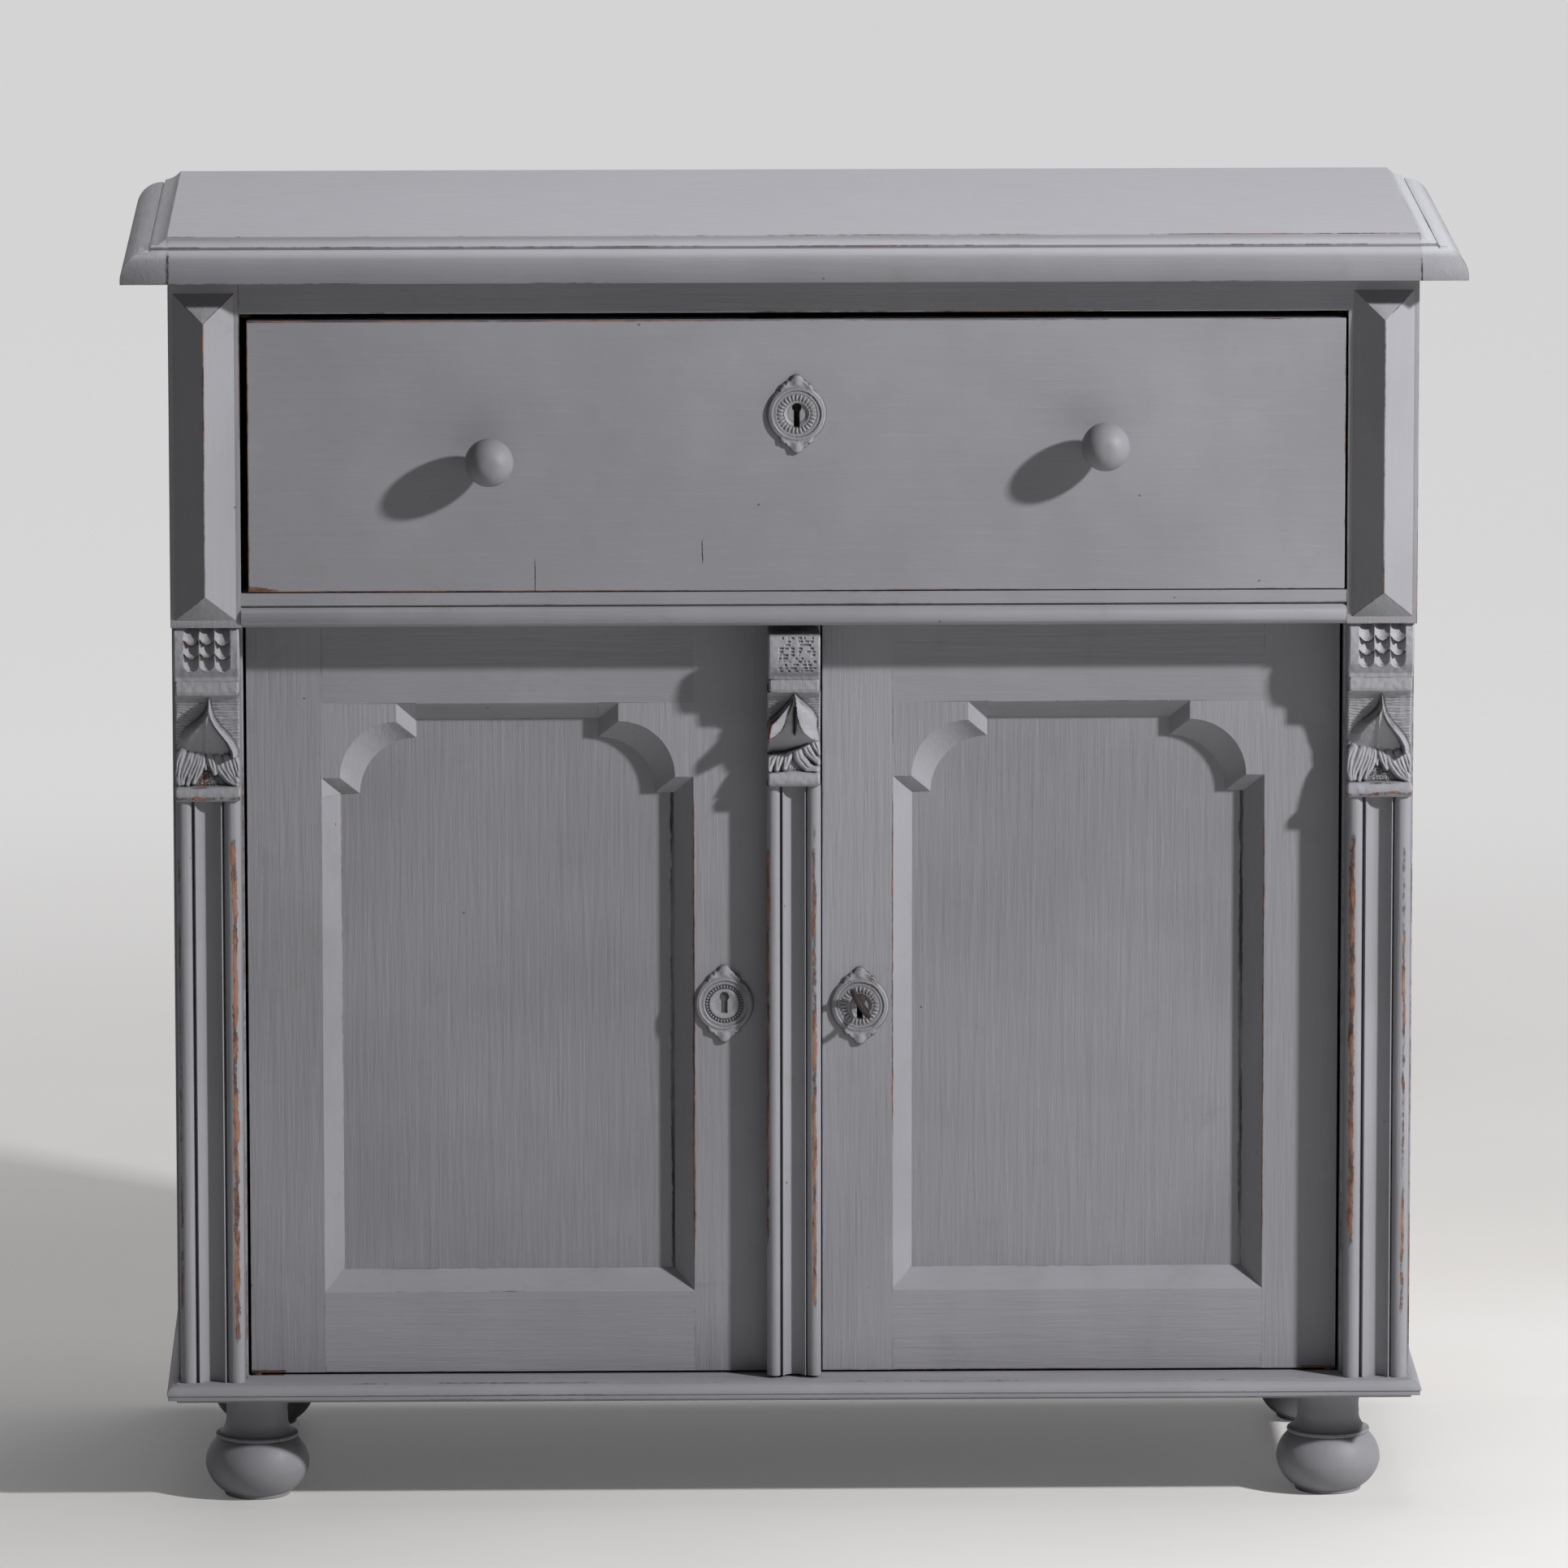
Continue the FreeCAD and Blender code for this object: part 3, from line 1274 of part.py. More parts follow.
def make_key():
    """Key in the right door, drawn upright about its axis and then turned to its rest angle."""
    half = "key_bow_thickness / 2"
    sideways = Vector(1, 0, 0)
    inward = Vector(0, 1, 0)
    bow_middle = "-key_bow_reach"
    ring = cylinder("key_bow_radius", "key_bow_thickness", f"-{half}", bow_middle, "0", sideways)
    hole_run = "key_bow_thickness + 2 * overrun"
    hole = cylinder("key_bow_bore", hole_run, f"-{half} - overrun", bow_middle, "0", sideways)
    bow = cut(ring, [hole])
    shank_start = f"{bow_middle} + key_bow_bore"
    shank_end = "door_thickness + lock_depth / 2 + key_bit_width / 2"
    shank = cylinder("key_shank_radius", f"{shank_end} - ({shank_start})", "0", shank_start, "0", inward)
    collar = cylinder(
        "key_collar_radius",
        "key_collar_thickness",
        "0",
        "-plate_thickness - key_collar_thickness - fit_gap",
        "0",
        inward,
    )
    bit = box(
        ("-key_bit_thickness / 2", "key_bit_thickness / 2"),
        (f"{shank_end} - key_bit_width", shank_end),
        ("-key_bit_length", "0"),
    )
    key = fused([bow, shank, collar, bit], "Key")
    key.Placement.Rotation = FreeCAD.Rotation(inward, length("key_rest_angle"))
    bind(key, Placement__Rotation__Angle="key_rest_angle")
    node(place(key, "right_plate_place", "door_front", "right_key_level + keyhole_rise"), "right_door_key")


def make_doors():
    """Both doors, the pilaster on the left one, their escutcheons, locks and bolts."""
    right_keyhole = keyhole_tools(
        "right_plate_place", "right_key_level", "door_front - overrun", "door_back + overrun"
    )
    make_door(LEFT, "-centre_shaft_width / 2", [])
    make_door(RIGHT, "centre_shaft_width / 2 + door_gap_meet", right_keyhole)
    shaft = padded("XY_Plane", shaft_outline("centre"), "centre_capital_bottom - (door_bottom)")
    node(place(shaft, "0", "door_front", "door_bottom"), "centre_pilaster_shaft")
    make_capital("centre", "0", "door_front", "centre_capital_top", "centre_capital")
    make_escutcheon(
        "-left_plate_place", "door_front", "left_key_level", "left_door_escutcheon", "blind_keyhole_depth"
    )
    make_escutcheon(
        "right_plate_place",
        "door_front",
        "right_key_level",
        "right_door_escutcheon",
        "plate_thickness + overrun",
    )
    make_left_bolt()
    make_right_lock()
    make_key()
    make_carcass_pivots()


def check_document():
    """Stop if any object failed, or if a sub-part is empty or broken."""
    for item in doc.Objects:
        if {"Invalid", "Error"} & set(item.State):
            raise RuntimeError(f"{item.Name} ({item.Label}) failed: {item.State}")
    for item in nodes:
        if item.Shape.isNull() or not item.Shape.isValid() or not item.Shape.Solids:
            raise RuntimeError(f"{item.Label} has no valid solid")


def write_parts():
    """Write one file for each sub-part."""
    os.makedirs("parts", exist_ok=True)
    for item in nodes:
        item.Shape.exportStep(os.path.join("parts", f"{item.Label}.step"))
        box_size = item.Shape.BoundBox
        print(
            f"{item.Label:28s} solids {len(item.Shape.Solids):2d}  volume {item.Shape.Volume:12.1f}"
            f"  size {box_size.XLength:7.1f} {box_size.YLength:7.1f} {box_size.ZLength:7.1f}"
        )


def main():
    """Build the cabinet from the floor up and write its parts."""
    fill_sheet()
    make_base()
    make_feet()
    make_casing()
    make_diamond_blocks()
    make_side_pilasters()
    make_top()
    make_runners()
    make_shelf()
    make_drawer()
    make_drawer_lock()
    make_doors()
    doc.recompute()
    check_document()
    write_parts()
    print(f"{len(nodes)} sub-parts")


main()
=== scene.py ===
"""Looks of an old painted pine sideboard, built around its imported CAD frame.

All lengths are metres in the frame of the CAD model, +Z up and the front facing -Y. Only the
profiles of the carved, cast, turned and forged pieces are in millimetres, as their classes say.
"""

import json
import logging
import math
from dataclasses import dataclass
from enum import Enum
from typing import Sequence

import bmesh
import bpy
from mathutils import Matrix, Vector, noise
from mathutils.bvhtree import BVHTree


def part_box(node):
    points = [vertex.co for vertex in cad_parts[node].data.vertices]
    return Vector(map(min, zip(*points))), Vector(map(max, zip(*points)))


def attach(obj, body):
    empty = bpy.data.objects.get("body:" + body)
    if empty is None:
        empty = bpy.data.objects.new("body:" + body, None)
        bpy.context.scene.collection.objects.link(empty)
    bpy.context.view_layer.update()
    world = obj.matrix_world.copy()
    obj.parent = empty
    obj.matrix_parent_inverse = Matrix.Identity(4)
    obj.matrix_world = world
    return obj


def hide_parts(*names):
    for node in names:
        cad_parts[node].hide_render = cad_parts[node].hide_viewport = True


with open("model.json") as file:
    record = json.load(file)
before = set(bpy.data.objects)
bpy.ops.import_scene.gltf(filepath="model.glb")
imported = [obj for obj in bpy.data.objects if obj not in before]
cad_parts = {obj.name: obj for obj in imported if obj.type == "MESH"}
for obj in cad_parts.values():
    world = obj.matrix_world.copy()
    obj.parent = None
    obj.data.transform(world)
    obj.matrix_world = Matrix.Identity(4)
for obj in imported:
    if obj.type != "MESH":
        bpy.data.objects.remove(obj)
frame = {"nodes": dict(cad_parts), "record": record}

LOG = logging.getLogger("sideboard")
MM = 0.001
TINY = 1e-6
# A strip with an end this far out runs on past the piece.
ENDLESS = 9.0
# A pattern that is the same in every direction.
EVEN = (1.0, 1.0, 1.0)
# How far a seed shifts a pattern along each axis.
SHIFT_SHARES = (1.0, 1.7, 0.6)
Colour = tuple[float, float, float, float]
Pair = tuple[float, float]
Triple = tuple[float, float, float]
Table = tuple[Pair, ...]
Socket = bpy.types.NodeSocket
Node = bpy.types.Node
Material = bpy.types.Material
Mesh = bpy.types.Mesh
BMesh = bmesh.types.BMesh


def linear(channel: int) -> float:
    """Turn one channel of a colour on screen, from 0 to 255, into linear light."""
    share = channel / 255
    return share / 12.92 if share <= 0.04045 else ((share + 0.055) / 1.055) ** 2.4


def srgb(red: int, green: int, blue: int) -> Colour:
    """Turn a colour on screen into the linear colour that nodes take."""
    return (linear(red), linear(green), linear(blue), 1.0)


def toned(colour: Colour, factor: float) -> Colour:
    """Return the colour made lighter or darker by a factor."""
    return (colour[0] * factor, colour[1] * factor, colour[2] * factor, 1.0)


def clamped(value: float) -> float:
    """Return the value kept between 0 and 1."""
    return min(1.0, max(0.0, value))


def eased(value: float) -> float:
    """Return a share from 0 to 1 with soft ends."""
    value = clamped(value)
    return value * value * (3 - 2 * value)


def between(table: Sequence[Pair], value: float) -> float:
    """Look a value up in a table, with straight runs between its points.

    Args:
        table: Points whose first column rises.
        value: Place in the first column.

    Returns:
        The second column there, or its first or last value beyond the ends.
    """
    if value <= table[0][0]:
        return table[0][1]
    for (low, first), (high, last) in zip(table, table[1:]):
        if value <= high:
            share = (value - low) / (high - low)
            return first + (last - first) * share
    return table[-1][1]


class Grain(Enum):
    """Direction of the wood's fibres in a piece."""

    X = (0.045, 1.0, 1.0)
    Y = (1.0, 0.045, 1.0)
    Z = (1.0, 1.0, 0.045)


class Slot(Enum):
    """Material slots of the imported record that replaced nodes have."""

    PAINTED_PINE = "painted_pine"
    IRON = "iron"
    PAINTED_METAL = "painted_metal"


PAINT = srgb(132, 132, 137)
PINE_LIGHT = srgb(190, 153, 112)
PINE_DARK = srgb(142, 98, 62)
SEAM_TONE = srgb(30, 20, 14)
IRON_TONE = srgb(58, 54, 52)
RUST_TONE = srgb(104, 62, 38)
KEY_TONE = srgb(28, 23, 22)
KEY_RUST_TONE = srgb(40, 27, 24)


class NodeBench:
    """Adds and links the nodes of one tree, so that a finish reads as a short recipe."""

    def __init__(self, tree: bpy.types.NodeTree) -> None:
        """Take an empty tree."""
        self.tree = tree

    def plug(self, node: Node, feeds: dict) -> None:
        """Give inputs of a node their values, or link sockets to them.

        Args:
            node: Node that takes them.
            feeds: Values or sockets by the input's name or number.
        """
        for key, value in feeds.items():
            if isinstance(value, Socket):
                self.tree.links.new(value, node.inputs[key])
            else:
                node.inputs[key].default_value = value

    def add(self, kind: str, feeds: dict | None = None, **settings: object) -> Node:
        """Add a node.

        Args:
            kind: Blender's name of the node type.
            feeds: Values or sockets by the input's name or number.
            settings: Properties of the node.

        Returns:
            The new node.
        """
        node = self.tree.nodes.new(kind)
        for name, value in settings.items():
            setattr(node, name, value)
        self.plug(node, feeds or {})
        return node

    def math(self, operation: str, *values: object) -> Socket:
        """Return the result of a Math node."""
        return self.add("ShaderNodeMath", dict(enumerate(values)), operation=operation).outputs[0]

    def times(self, one: object, other: object) -> Socket:
        """Return the product of two values."""
        return self.math("MULTIPLY", one, other)

    def plus(self, one: object, factor: object, other: object) -> Socket:
        """Return one value times a factor, plus another value."""
        return self.math("MULTIPLY_ADD", one, factor, other)

    def blend(self, share: object, first: object, second: object) -> Socket:
        """Return two colours mixed by a share, through the Mix node's colour sockets."""
        feeds = {0: share, 6: first, 7: second}
        return self.add("ShaderNodeMix", feeds, data_type="RGBA").outputs[2]

    def ramp(self, value: Socket, low: float, high: float, to_low: float = 0.0,
             to_high: float = 1.0) -> Socket:
        """Return the value carried smoothly from one range to another."""
        feeds = {0: value, 1: low, 2: high, 3: to_low, 4: to_high}
        return self.add("ShaderNodeMapRange", feeds, interpolation_type="SMOOTHSTEP").outputs[0]

    def place(self) -> Socket:
        """Return the piece's own coordinates, in metres."""
        return self.add("ShaderNodeTexCoord").outputs["Object"]

    def normal(self) -> Socket:
        """Return the direction that the surface faces."""
        return self.add("ShaderNodeNewGeometry").outputs["Normal"]

    def stored(self, name: str) -> Socket:
        """Return a value that the mesh carries under a name."""
        return self.add("ShaderNodeAttribute", attribute_name=name).outputs["Fac"]

    def split(self, vector: Socket) -> bpy.types.NodeOutputs:
        """Return the three parts of a vector."""
        return self.add("ShaderNodeSeparateXYZ", {0: vector}).outputs

    def stretched(self, place: Socket, scale: Sequence[float], shift: float = 0.0) -> Socket:
        """Return coordinates scaled along each axis and shifted."""
        feeds = {"Scale": tuple(scale), "Location": tuple(shift * share for share in SHIFT_SHARES)}
        return self.add("ShaderNodeMapping", {"Vector": place, **feeds}).outputs[0]

    def noise(self, place: Socket, scale: float, detail: float = 3.0, rough: float = 0.55) -> Socket:
        """Return a soft noise, mostly between 0.25 and 0.75."""
        feeds = {"Vector": place, "Scale": scale, "Detail": detail, "Roughness": rough}
        return self.add("ShaderNodeTexNoise", feeds).outputs[0]

    def bump(self, height: Socket, depth: float, normal: Socket | None = None) -> Socket:
        """Bend the normal by a height.

        Args:
            height: Height as a share of the depth.
            depth: Depth in metres.
            normal: Normal to bend, or None for the surface's own.

        Returns:
            The bent normal.
        """
        feeds = {"Height": height, "Distance": depth, "Strength": 1.0}
        if normal is not None:
            feeds["Normal"] = normal
        return self.add("ShaderNodeBump", feeds).outputs[0]


def new_material(name: str) -> tuple[Material, NodeBench, Node]:
    """Make a material with one Principled shader.

    Args:
        name: Name of the material.

    Returns:
        The material, a bench on its tree and its shader.
    """
    material = bpy.data.materials.new(name)
    material.use_nodes = True
    material.node_tree.nodes.clear()
    bench = NodeBench(material.node_tree)
    shader = bench.add("ShaderNodeBsdfPrincipled")
    bench.add("ShaderNodeOutputMaterial", {0: shader.outputs[0]})
    return material, bench, shader


@dataclass(frozen=True)
class Scrape:
    """A strip where hands and feet have rubbed the paint through to the wood.

    Attributes:
        axis: Axis across the strip: 0 for X, 1 for Y and 2 for Z.
        place: Middle of the strip on that axis.
        half: Half of its width.
        strength: How much of it is rubbed through, from 0 to 1.
        span: Where it runs, on Z, or on X for a strip across Z.
        fade: How far it takes to fade out at its ends.
    """

    axis: int
    place: float
    half: float
    strength: float = 1.0
    span: Pair = (-ENDLESS, ENDLESS)
    fade: float = 0.03


@dataclass(frozen=True)
class PaintedPine:
    """Old grey paint on pine, brushed along the grain and rubbed through at its edges.

    Attributes:
        name: Name of the material.
        grain: Direction of the fibres and of the brush.
        tone: Colour of the paint.
        wear: How much of the edges is rubbed through, from 0 to 1.
        ridges: Depth of the brush marks and grain in metres.
        scrapes: Strips rubbed through.
        cracks: Thin open joints, dark along the grain.
        dust_and_sheen: How much paler what faces up is, from 0 to 1: dusty and polished, and partly
            painted sheen.
        seed: Shifts every pattern.
    """

    name: str
    grain: Grain
    tone: Colour
    wear: float = 0.5
    ridges: float = 0.00022
    scrapes: tuple[Scrape, ...] = ()
    cracks: tuple[Scrape, ...] = ()
    dust_and_sheen: float = 0.0
    seed: float = 0.0

    # Patterns, in repeats a metre.
    streak_scale = 150
    brush_scale = 430
    cloud_scale = 4.2
    patch_scale = 19
    torn_scale = 85
    stipple_scale = 55
    speck_scale = 42
    # Between which shares of rubbing the rim of a bare place darkens, and its wood shows.
    rim_shares = (0.62, 0.72)
    bare_shares = (0.71, 0.75)
    bevel = 0.0024
    shine = 0.2
    wood_dark = srgb(72, 52, 45)
    wood_light = srgb(138, 98, 80)
    rim_tone = srgb(62, 52, 46)
    speck_tone = srgb(50, 44, 42)
    # Painted shade, with some grime, in the hollows of carvings and castings.
    hollow_shade_tone = srgb(40, 37, 36)
    gap_tone = srgb(18, 15, 14)

    def make(self) -> Material:
        """Build the material.

        Returns:
            The finished material.
        """
        material, bench, shader = new_material(self.name)
        raw = bench.place()
        place = bench.stretched(raw, EVEN, self.seed)
        along = bench.stretched(raw, self.grain.value, self.seed)
        streak = bench.noise(along, self.streak_scale, 3, 0.65)
        brush = bench.noise(along, self.brush_scale, 2, 0.6)
        cloud = bench.noise(place, self.cloud_scale, 3, 0.55)
        patch = bench.noise(place, self.patch_scale, 4, 0.65)
        torn = bench.noise(self.short_grain(bench, raw, self.seed), self.torn_scale, 4, 0.7)
        worn = self.rubbed(bench, raw, place, along, torn)
        bare = bench.ramp(worn, *self.bare_shares)
        wood = bench.blend(bench.ramp(torn, 0.4, 0.6), self.wood_dark, self.wood_light)
        colour = self.coat(bench, cloud, streak, patch, brush)
        # Painted sheen, with a dusty look: faces turned up are lightened towards a paler paint.
        if self.dust_and_sheen:
            lift = bench.split(bench.normal())["Z"]
            cover = bench.ramp(lift, 0.7, 0.98, 0.0, self.dust_and_sheen)
            colour = bench.blend(cover, colour, toned(self.tone, 1.8))
        for share, tone in (
            (bench.times(bench.ramp(worn, *self.rim_shares), 0.7), self.rim_tone),
            (bare, wood),
            (bench.times(self.specks(bench, place), 0.7), self.speck_tone),
            # Painted shade with grime, where the mesh's hollow mask is set.
            (bench.times(bench.stored("hollow"), 0.6), self.hollow_shade_tone),
            (self.open_joints(bench, raw, along), self.gap_tone),
        ):
            if share is not None:
                colour = bench.blend(share, colour, tone)
        rough = bench.plus(bare, 0.2, bench.ramp(brush, 0.3, 0.7, 0.46, 0.56))
        stipple = bench.noise(bench.stretched(along, (3.5, 3.5, 3.5)), self.stipple_scale, 4, 0.7)
        height = bench.times(cloud, 3.0)
        for pattern, weight in (
            (patch, 0.45), (streak, self.ridges * 1500), (brush, self.ridges * 700),
            (stipple, self.ridges * 1400),
        ):
            height = bench.plus(pattern, weight, height)
        bench.plug(shader, {
            "Base Color": colour, "Roughness": rough, "Specular IOR Level": self.shine,
            "Normal": bench.bump(height, MM),
        })
        return material

    def coat(self, bench: NodeBench, cloud: Socket, streak: Socket, patch: Socket,
             brush: Socket) -> Socket:
        """Mix the paint, with clouds, brush lines, grime and scuffs.

        Args:
            bench: Bench of the material.
            cloud: Broad unevenness.
            streak: Coarse lines along the grain.
            patch: Grimy and scuffed places.
            brush: Fine lines along the grain.

        Returns:
            The colour of the paint.
        """
        tone = self.tone
        grime = (tone[0] * 0.86, tone[1] * 0.82, tone[2] * 0.76, 1.0)
        paint = bench.blend(bench.ramp(cloud, 0.36, 0.66), toned(tone, 0.93), toned(tone, 1.06))
        paint = bench.blend(bench.ramp(streak, 0.54, 0.78, 0.0, 0.2), paint, toned(tone, 0.84))
        paint = bench.blend(bench.ramp(brush, 0.52, 0.8, 0.0, 0.2), paint, toned(tone, 1.18))
        paint = bench.blend(bench.ramp(patch, 0.56, 0.76, 0.0, 0.45), paint, grime)
        return bench.blend(bench.ramp(patch, 0.24, 0.42, 0.3, 0.0), paint, toned(tone, 1.13))

    def short_grain(self, bench: NodeBench, raw: Socket, shift: float) -> Socket:
        """Return coordinates for a pattern that is only a little longer along the grain."""
        scale = (0.35 if part < 1 else 1.0 for part in self.grain.value)
        return bench.stretched(raw, tuple(scale), shift)

    def rubbed(self, bench: NodeBench, raw: Socket, place: Socket, along: Socket,
               torn: Socket) -> Socket:
        """Work out how far the paint is rubbed away, at edges, raised carving and scrapes.

        Args:
            bench: Bench of the material.
            raw: Coordinates of the piece.
            place: The same, shifted.
            along: The same, stretched along the grain.
            torn: Ragged pattern of torn paint.

        Returns:
            The rubbing, which bares the wood above the shares in bare_shares.
        """
        bevel = bench.add("ShaderNodeBevel", {"Radius": self.bevel}, samples=4).outputs[0]
        turn = bench.add("ShaderNodeVectorMath", {0: bevel, 1: bench.normal()}, operation="DOT_PRODUCT")
        edge = bench.ramp(turn.outputs["Value"], 0.995, 0.86)
        edge = bench.math("MAXIMUM", edge, bench.stored("wear"))
        rub = bench.noise(bench.stretched(along, (0.55, 0.55, 0.55)), 62, 4, 0.7)
        chips = bench.noise(place, 95, 3, 0.7)
        blotch = bench.noise(place, 7.5, 2, 0.5)
        score = bench.plus(rub, 0.54, bench.times(chips, 0.33))
        gain = bench.ramp(blotch, 0.38, 0.64, 0.08 + 0.12 * self.wear, 0.14 + 0.28 * self.wear)
        score = bench.plus(edge, gain, score)
        ragged = bench.ramp(torn, 0.36, 0.54, 0.7, 1.0)
        for strip in self.scrapes:
            mask = bench.times(self.strip(bench, raw, strip, along), ragged)
            score = bench.plus(mask, 0.37 * strip.strength, score)
        return score

    def strip(self, bench: NodeBench, raw: Socket, strip: Scrape, along: Socket) -> Socket:
        """Draw one strip with a wavy edge.

        Args:
            bench: Bench of the material.
            raw: Coordinates of the piece.
            strip: The strip.
            along: Coordinates stretched along the grain.

        Returns:
            1 in the middle of the strip and 0 beyond its edge.
        """
        parts = bench.split(raw)
        offset = bench.math("SUBTRACT", parts[strip.axis], strip.place)
        fray = bench.noise(self.short_grain(bench, raw, self.seed + 3), 170, 4, 0.7)
        wander = bench.math("ADD", bench.noise(along, 26, 3, 0.6), fray)
        wander = bench.times(bench.math("SUBTRACT", wander, 1.0), strip.half * 2.2)
        distance = bench.math("ABSOLUTE", bench.math("ADD", offset, wander))
        mask = bench.ramp(distance, strip.half * 0.35, strip.half, 1.0, 0.0)
        run = parts[0 if strip.axis == 2 else 2]
        for end, inner in zip(strip.span, (strip.fade, -strip.fade)):
            if abs(end) < ENDLESS:
                mask = bench.times(mask, bench.ramp(run, end, end + inner))
        return mask

    def open_joints(self, bench: NodeBench, raw: Socket, along: Socket) -> Socket | None:
        """Draw the open joints.

        Args:
            bench: Bench of the material.
            raw: Coordinates of the piece.
            along: Coordinates stretched along the grain.

        Returns:
            Where an open joint shows dark, or None if there is none.
        """
        total = None
        for crack in self.cracks:
            mask = self.strip(bench, raw, crack, along)
            gap = bench.ramp(bench.noise(along, 90, 4, 0.7), 0.5 - 0.25 * crack.strength, 0.62)
            mask = bench.times(mask, gap)
            total = mask if total is None else bench.math("MAXIMUM", total, mask)
        return total

    def specks(self, bench: NodeBench, place: Socket) -> Socket:
        """Draw small dark holes and knocks, few and scattered.

        Args:
            bench: Bench of the material.
            place: Coordinates of the piece, shifted.

        Returns:
            1 in a speck and 0 beside it.
        """
        feeds = {"Vector": place, "Scale": self.speck_scale}
        cells = bench.add("ShaderNodeTexVoronoi", feeds, feature="F1").outputs
        pick = bench.add("ShaderNodeSeparateColor", {0: cells["Color"]}).outputs[0]
        chosen = bench.math("GREATER_THAN", pick, 0.86)
        return bench.times(bench.ramp(cells["Distance"], 0.028, 0.055, 1.0, 0.0), chosen)


@dataclass(frozen=True)
class BarePine:
    """Unpainted old pine with year rings and dust, as inside the cabinet and at its back.

    Attributes:
        name: Name of the material.
        grain: Direction of the fibres.
        light: Colour of the early wood, and dark of the late wood.
        seams: Where boards of one node meet, on X.
        ring_scale: Swirls of the year rings in a metre, with the rings in each.
        fibre_scale: Fibres in a metre.
    """

    name: str
    grain: Grain
    light: Colour = PINE_LIGHT
    dark: Colour = PINE_DARK
    seams: tuple[float, ...] = ()
    ring_scale: float = 5.0
    rings: float = 21.0
    fibre_scale: float = 620

    def make(self) -> Material:
        """Build the material.

        Returns:
            The finished material.
        """
        material, bench, shader = new_material(self.name)
        raw = bench.place()
        across = bench.split(raw)[0]
        along = bench.stretched(raw, self.grain.value)
        for seam in self.seams:
            beyond = bench.math("GREATER_THAN", across, seam)
            jump = bench.add("ShaderNodeCombineXYZ", dict.fromkeys(range(3), beyond)).outputs[0]
            along = bench.add("ShaderNodeVectorMath", {0: along, 1: jump}, operation="ADD").outputs[0]
        swirl = bench.noise(along, self.ring_scale, 2, 0.45)
        year = bench.math("FRACT", bench.times(swirl, self.rings))
        late = bench.times(bench.ramp(year, 0.45, 0.93), bench.ramp(year, 0.94, 0.99, 1.0, 0.0))
        fibre = bench.noise(along, self.fibre_scale, 3, 0.6)
        colour = bench.blend(bench.times(late, 0.62), self.light, self.dark)
        colour = bench.blend(bench.ramp(fibre, 0.45, 0.75, 0.0, 0.35), colour, toned(self.dark, 0.9))
        grime = bench.ramp(bench.noise(bench.stretched(raw, EVEN), 6, 5, 0.6), 0.5, 0.76, 0.0, 0.4)
        colour = bench.blend(grime, colour, toned(self.dark, 0.6))
        for seam in self.seams:
            off = bench.math("ABSOLUTE", bench.math("SUBTRACT", across, seam))
            colour = bench.blend(bench.ramp(off, 0.0008, 0.0022, 0.85, 0.0), colour, SEAM_TONE)
        height = bench.plus(late, 0.18, bench.times(fibre, 0.22))
        bench.plug(shader, {
            "Base Color": colour, "Roughness": bench.ramp(fibre, 0.3, 0.7, 0.62, 0.8),
            "Normal": bench.bump(height, MM),
        })
        return material


@dataclass(frozen=True)
class OldMetal:
    """Iron of locks, bolts and keys: brown rust over dark metal, bright where it rubs.

    Attributes:
        name: Name of the material.
        tone: Colour of the dark skin.
        rust: Colour of the rust.
        rusted: Share of the surface under rust, from 0 to 1.
        shine: How metallic the skin is, from 0 to 1.
        seed: Shifts every pattern.
        patch_scale: Patches of rust in a metre, and patch_depth their depth.
        pit_scale: Pits in a metre, and pit_depth their depth.
    """

    name: str
    tone: Colour
    rust: Colour
    rusted: float = 0.5
    shine: float = 0.85
    seed: float = 0.0
    patch_scale: float = 60
    pit_scale: float = 420
    patch_depth: float = 0.0004
    pit_depth: float = 0.00018

    def make(self) -> Material:
        """Build the material.

        Returns:
            The finished material.
        """
        material, bench, shader = new_material(self.name)
        place = bench.stretched(bench.place(), EVEN, self.seed)
        patch = bench.noise(place, self.patch_scale, 6, 0.7)
        pits = bench.noise(place, self.pit_scale, 4, 0.65)
        cover = bench.ramp(patch, 0.62 - 0.3 * self.rusted, 0.72 - 0.22 * self.rusted)
        skin = bench.blend(bench.ramp(pits, 0.35, 0.7), self.tone, toned(self.tone, 1.8))
        crust = bench.blend(bench.ramp(pits, 0.35, 0.65), self.rust, toned(self.rust, 0.45))
        rough = bench.ramp(cover, 0, 1, 0.38, 0.74)
        rough = bench.math("ADD", rough, bench.ramp(pits, 0.3, 0.7, 0, 0.1))
        deep = bench.bump(patch, self.patch_depth)
        bench.plug(shader, {
            "Base Color": bench.blend(cover, skin, crust), "Roughness": rough,
            "Metallic": bench.ramp(cover, 0, 1, self.shine, 0.05),
            "Normal": bench.bump(pits, self.pit_depth, deep),
        })
        return material


class Palette:
    """Makes each finish once and hands it out by name."""

    def __init__(self) -> None:
        """Start with no finish made."""
        self.made: dict[str, Material] = {}

    def get(self, finish: PaintedPine | BarePine | OldMetal) -> Material:
        """Hand out the material of a finish, made at its first use.

        Args:
            finish: The finish.

        Returns:
            Its material.
        """
        if finish.name not in self.made:
            self.made[finish.name] = finish.make()
        return self.made[finish.name]


def set_piece(name: str, mesh: Mesh, material: Material, body: str, slot: Slot,
              *nodes: str) -> bpy.types.Object:
    """Put a finished mesh into the scene, riding on a body and standing for its CAD nodes.

    Args:
        name: Name of the piece.
        mesh: Its mesh, in place.
        material: Its finish.
        body: Name of the CAD body.
        slot: Material slot of the record. It is not used.
        nodes: CAD nodes that the piece stands for.

    Returns:
        The new object, with its origin at the frame's.
    """
    piece = bpy.data.objects.new(name, mesh)
    bpy.context.scene.collection.objects.link(piece)
    mesh.materials.clear()
    mesh.materials.append(material)
    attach(piece, body)
    if nodes:
        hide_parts(*nodes)
    LOG.info("piece %s rides on %s for %s", name, body, ", ".join(nodes) or "no node")
    return piece


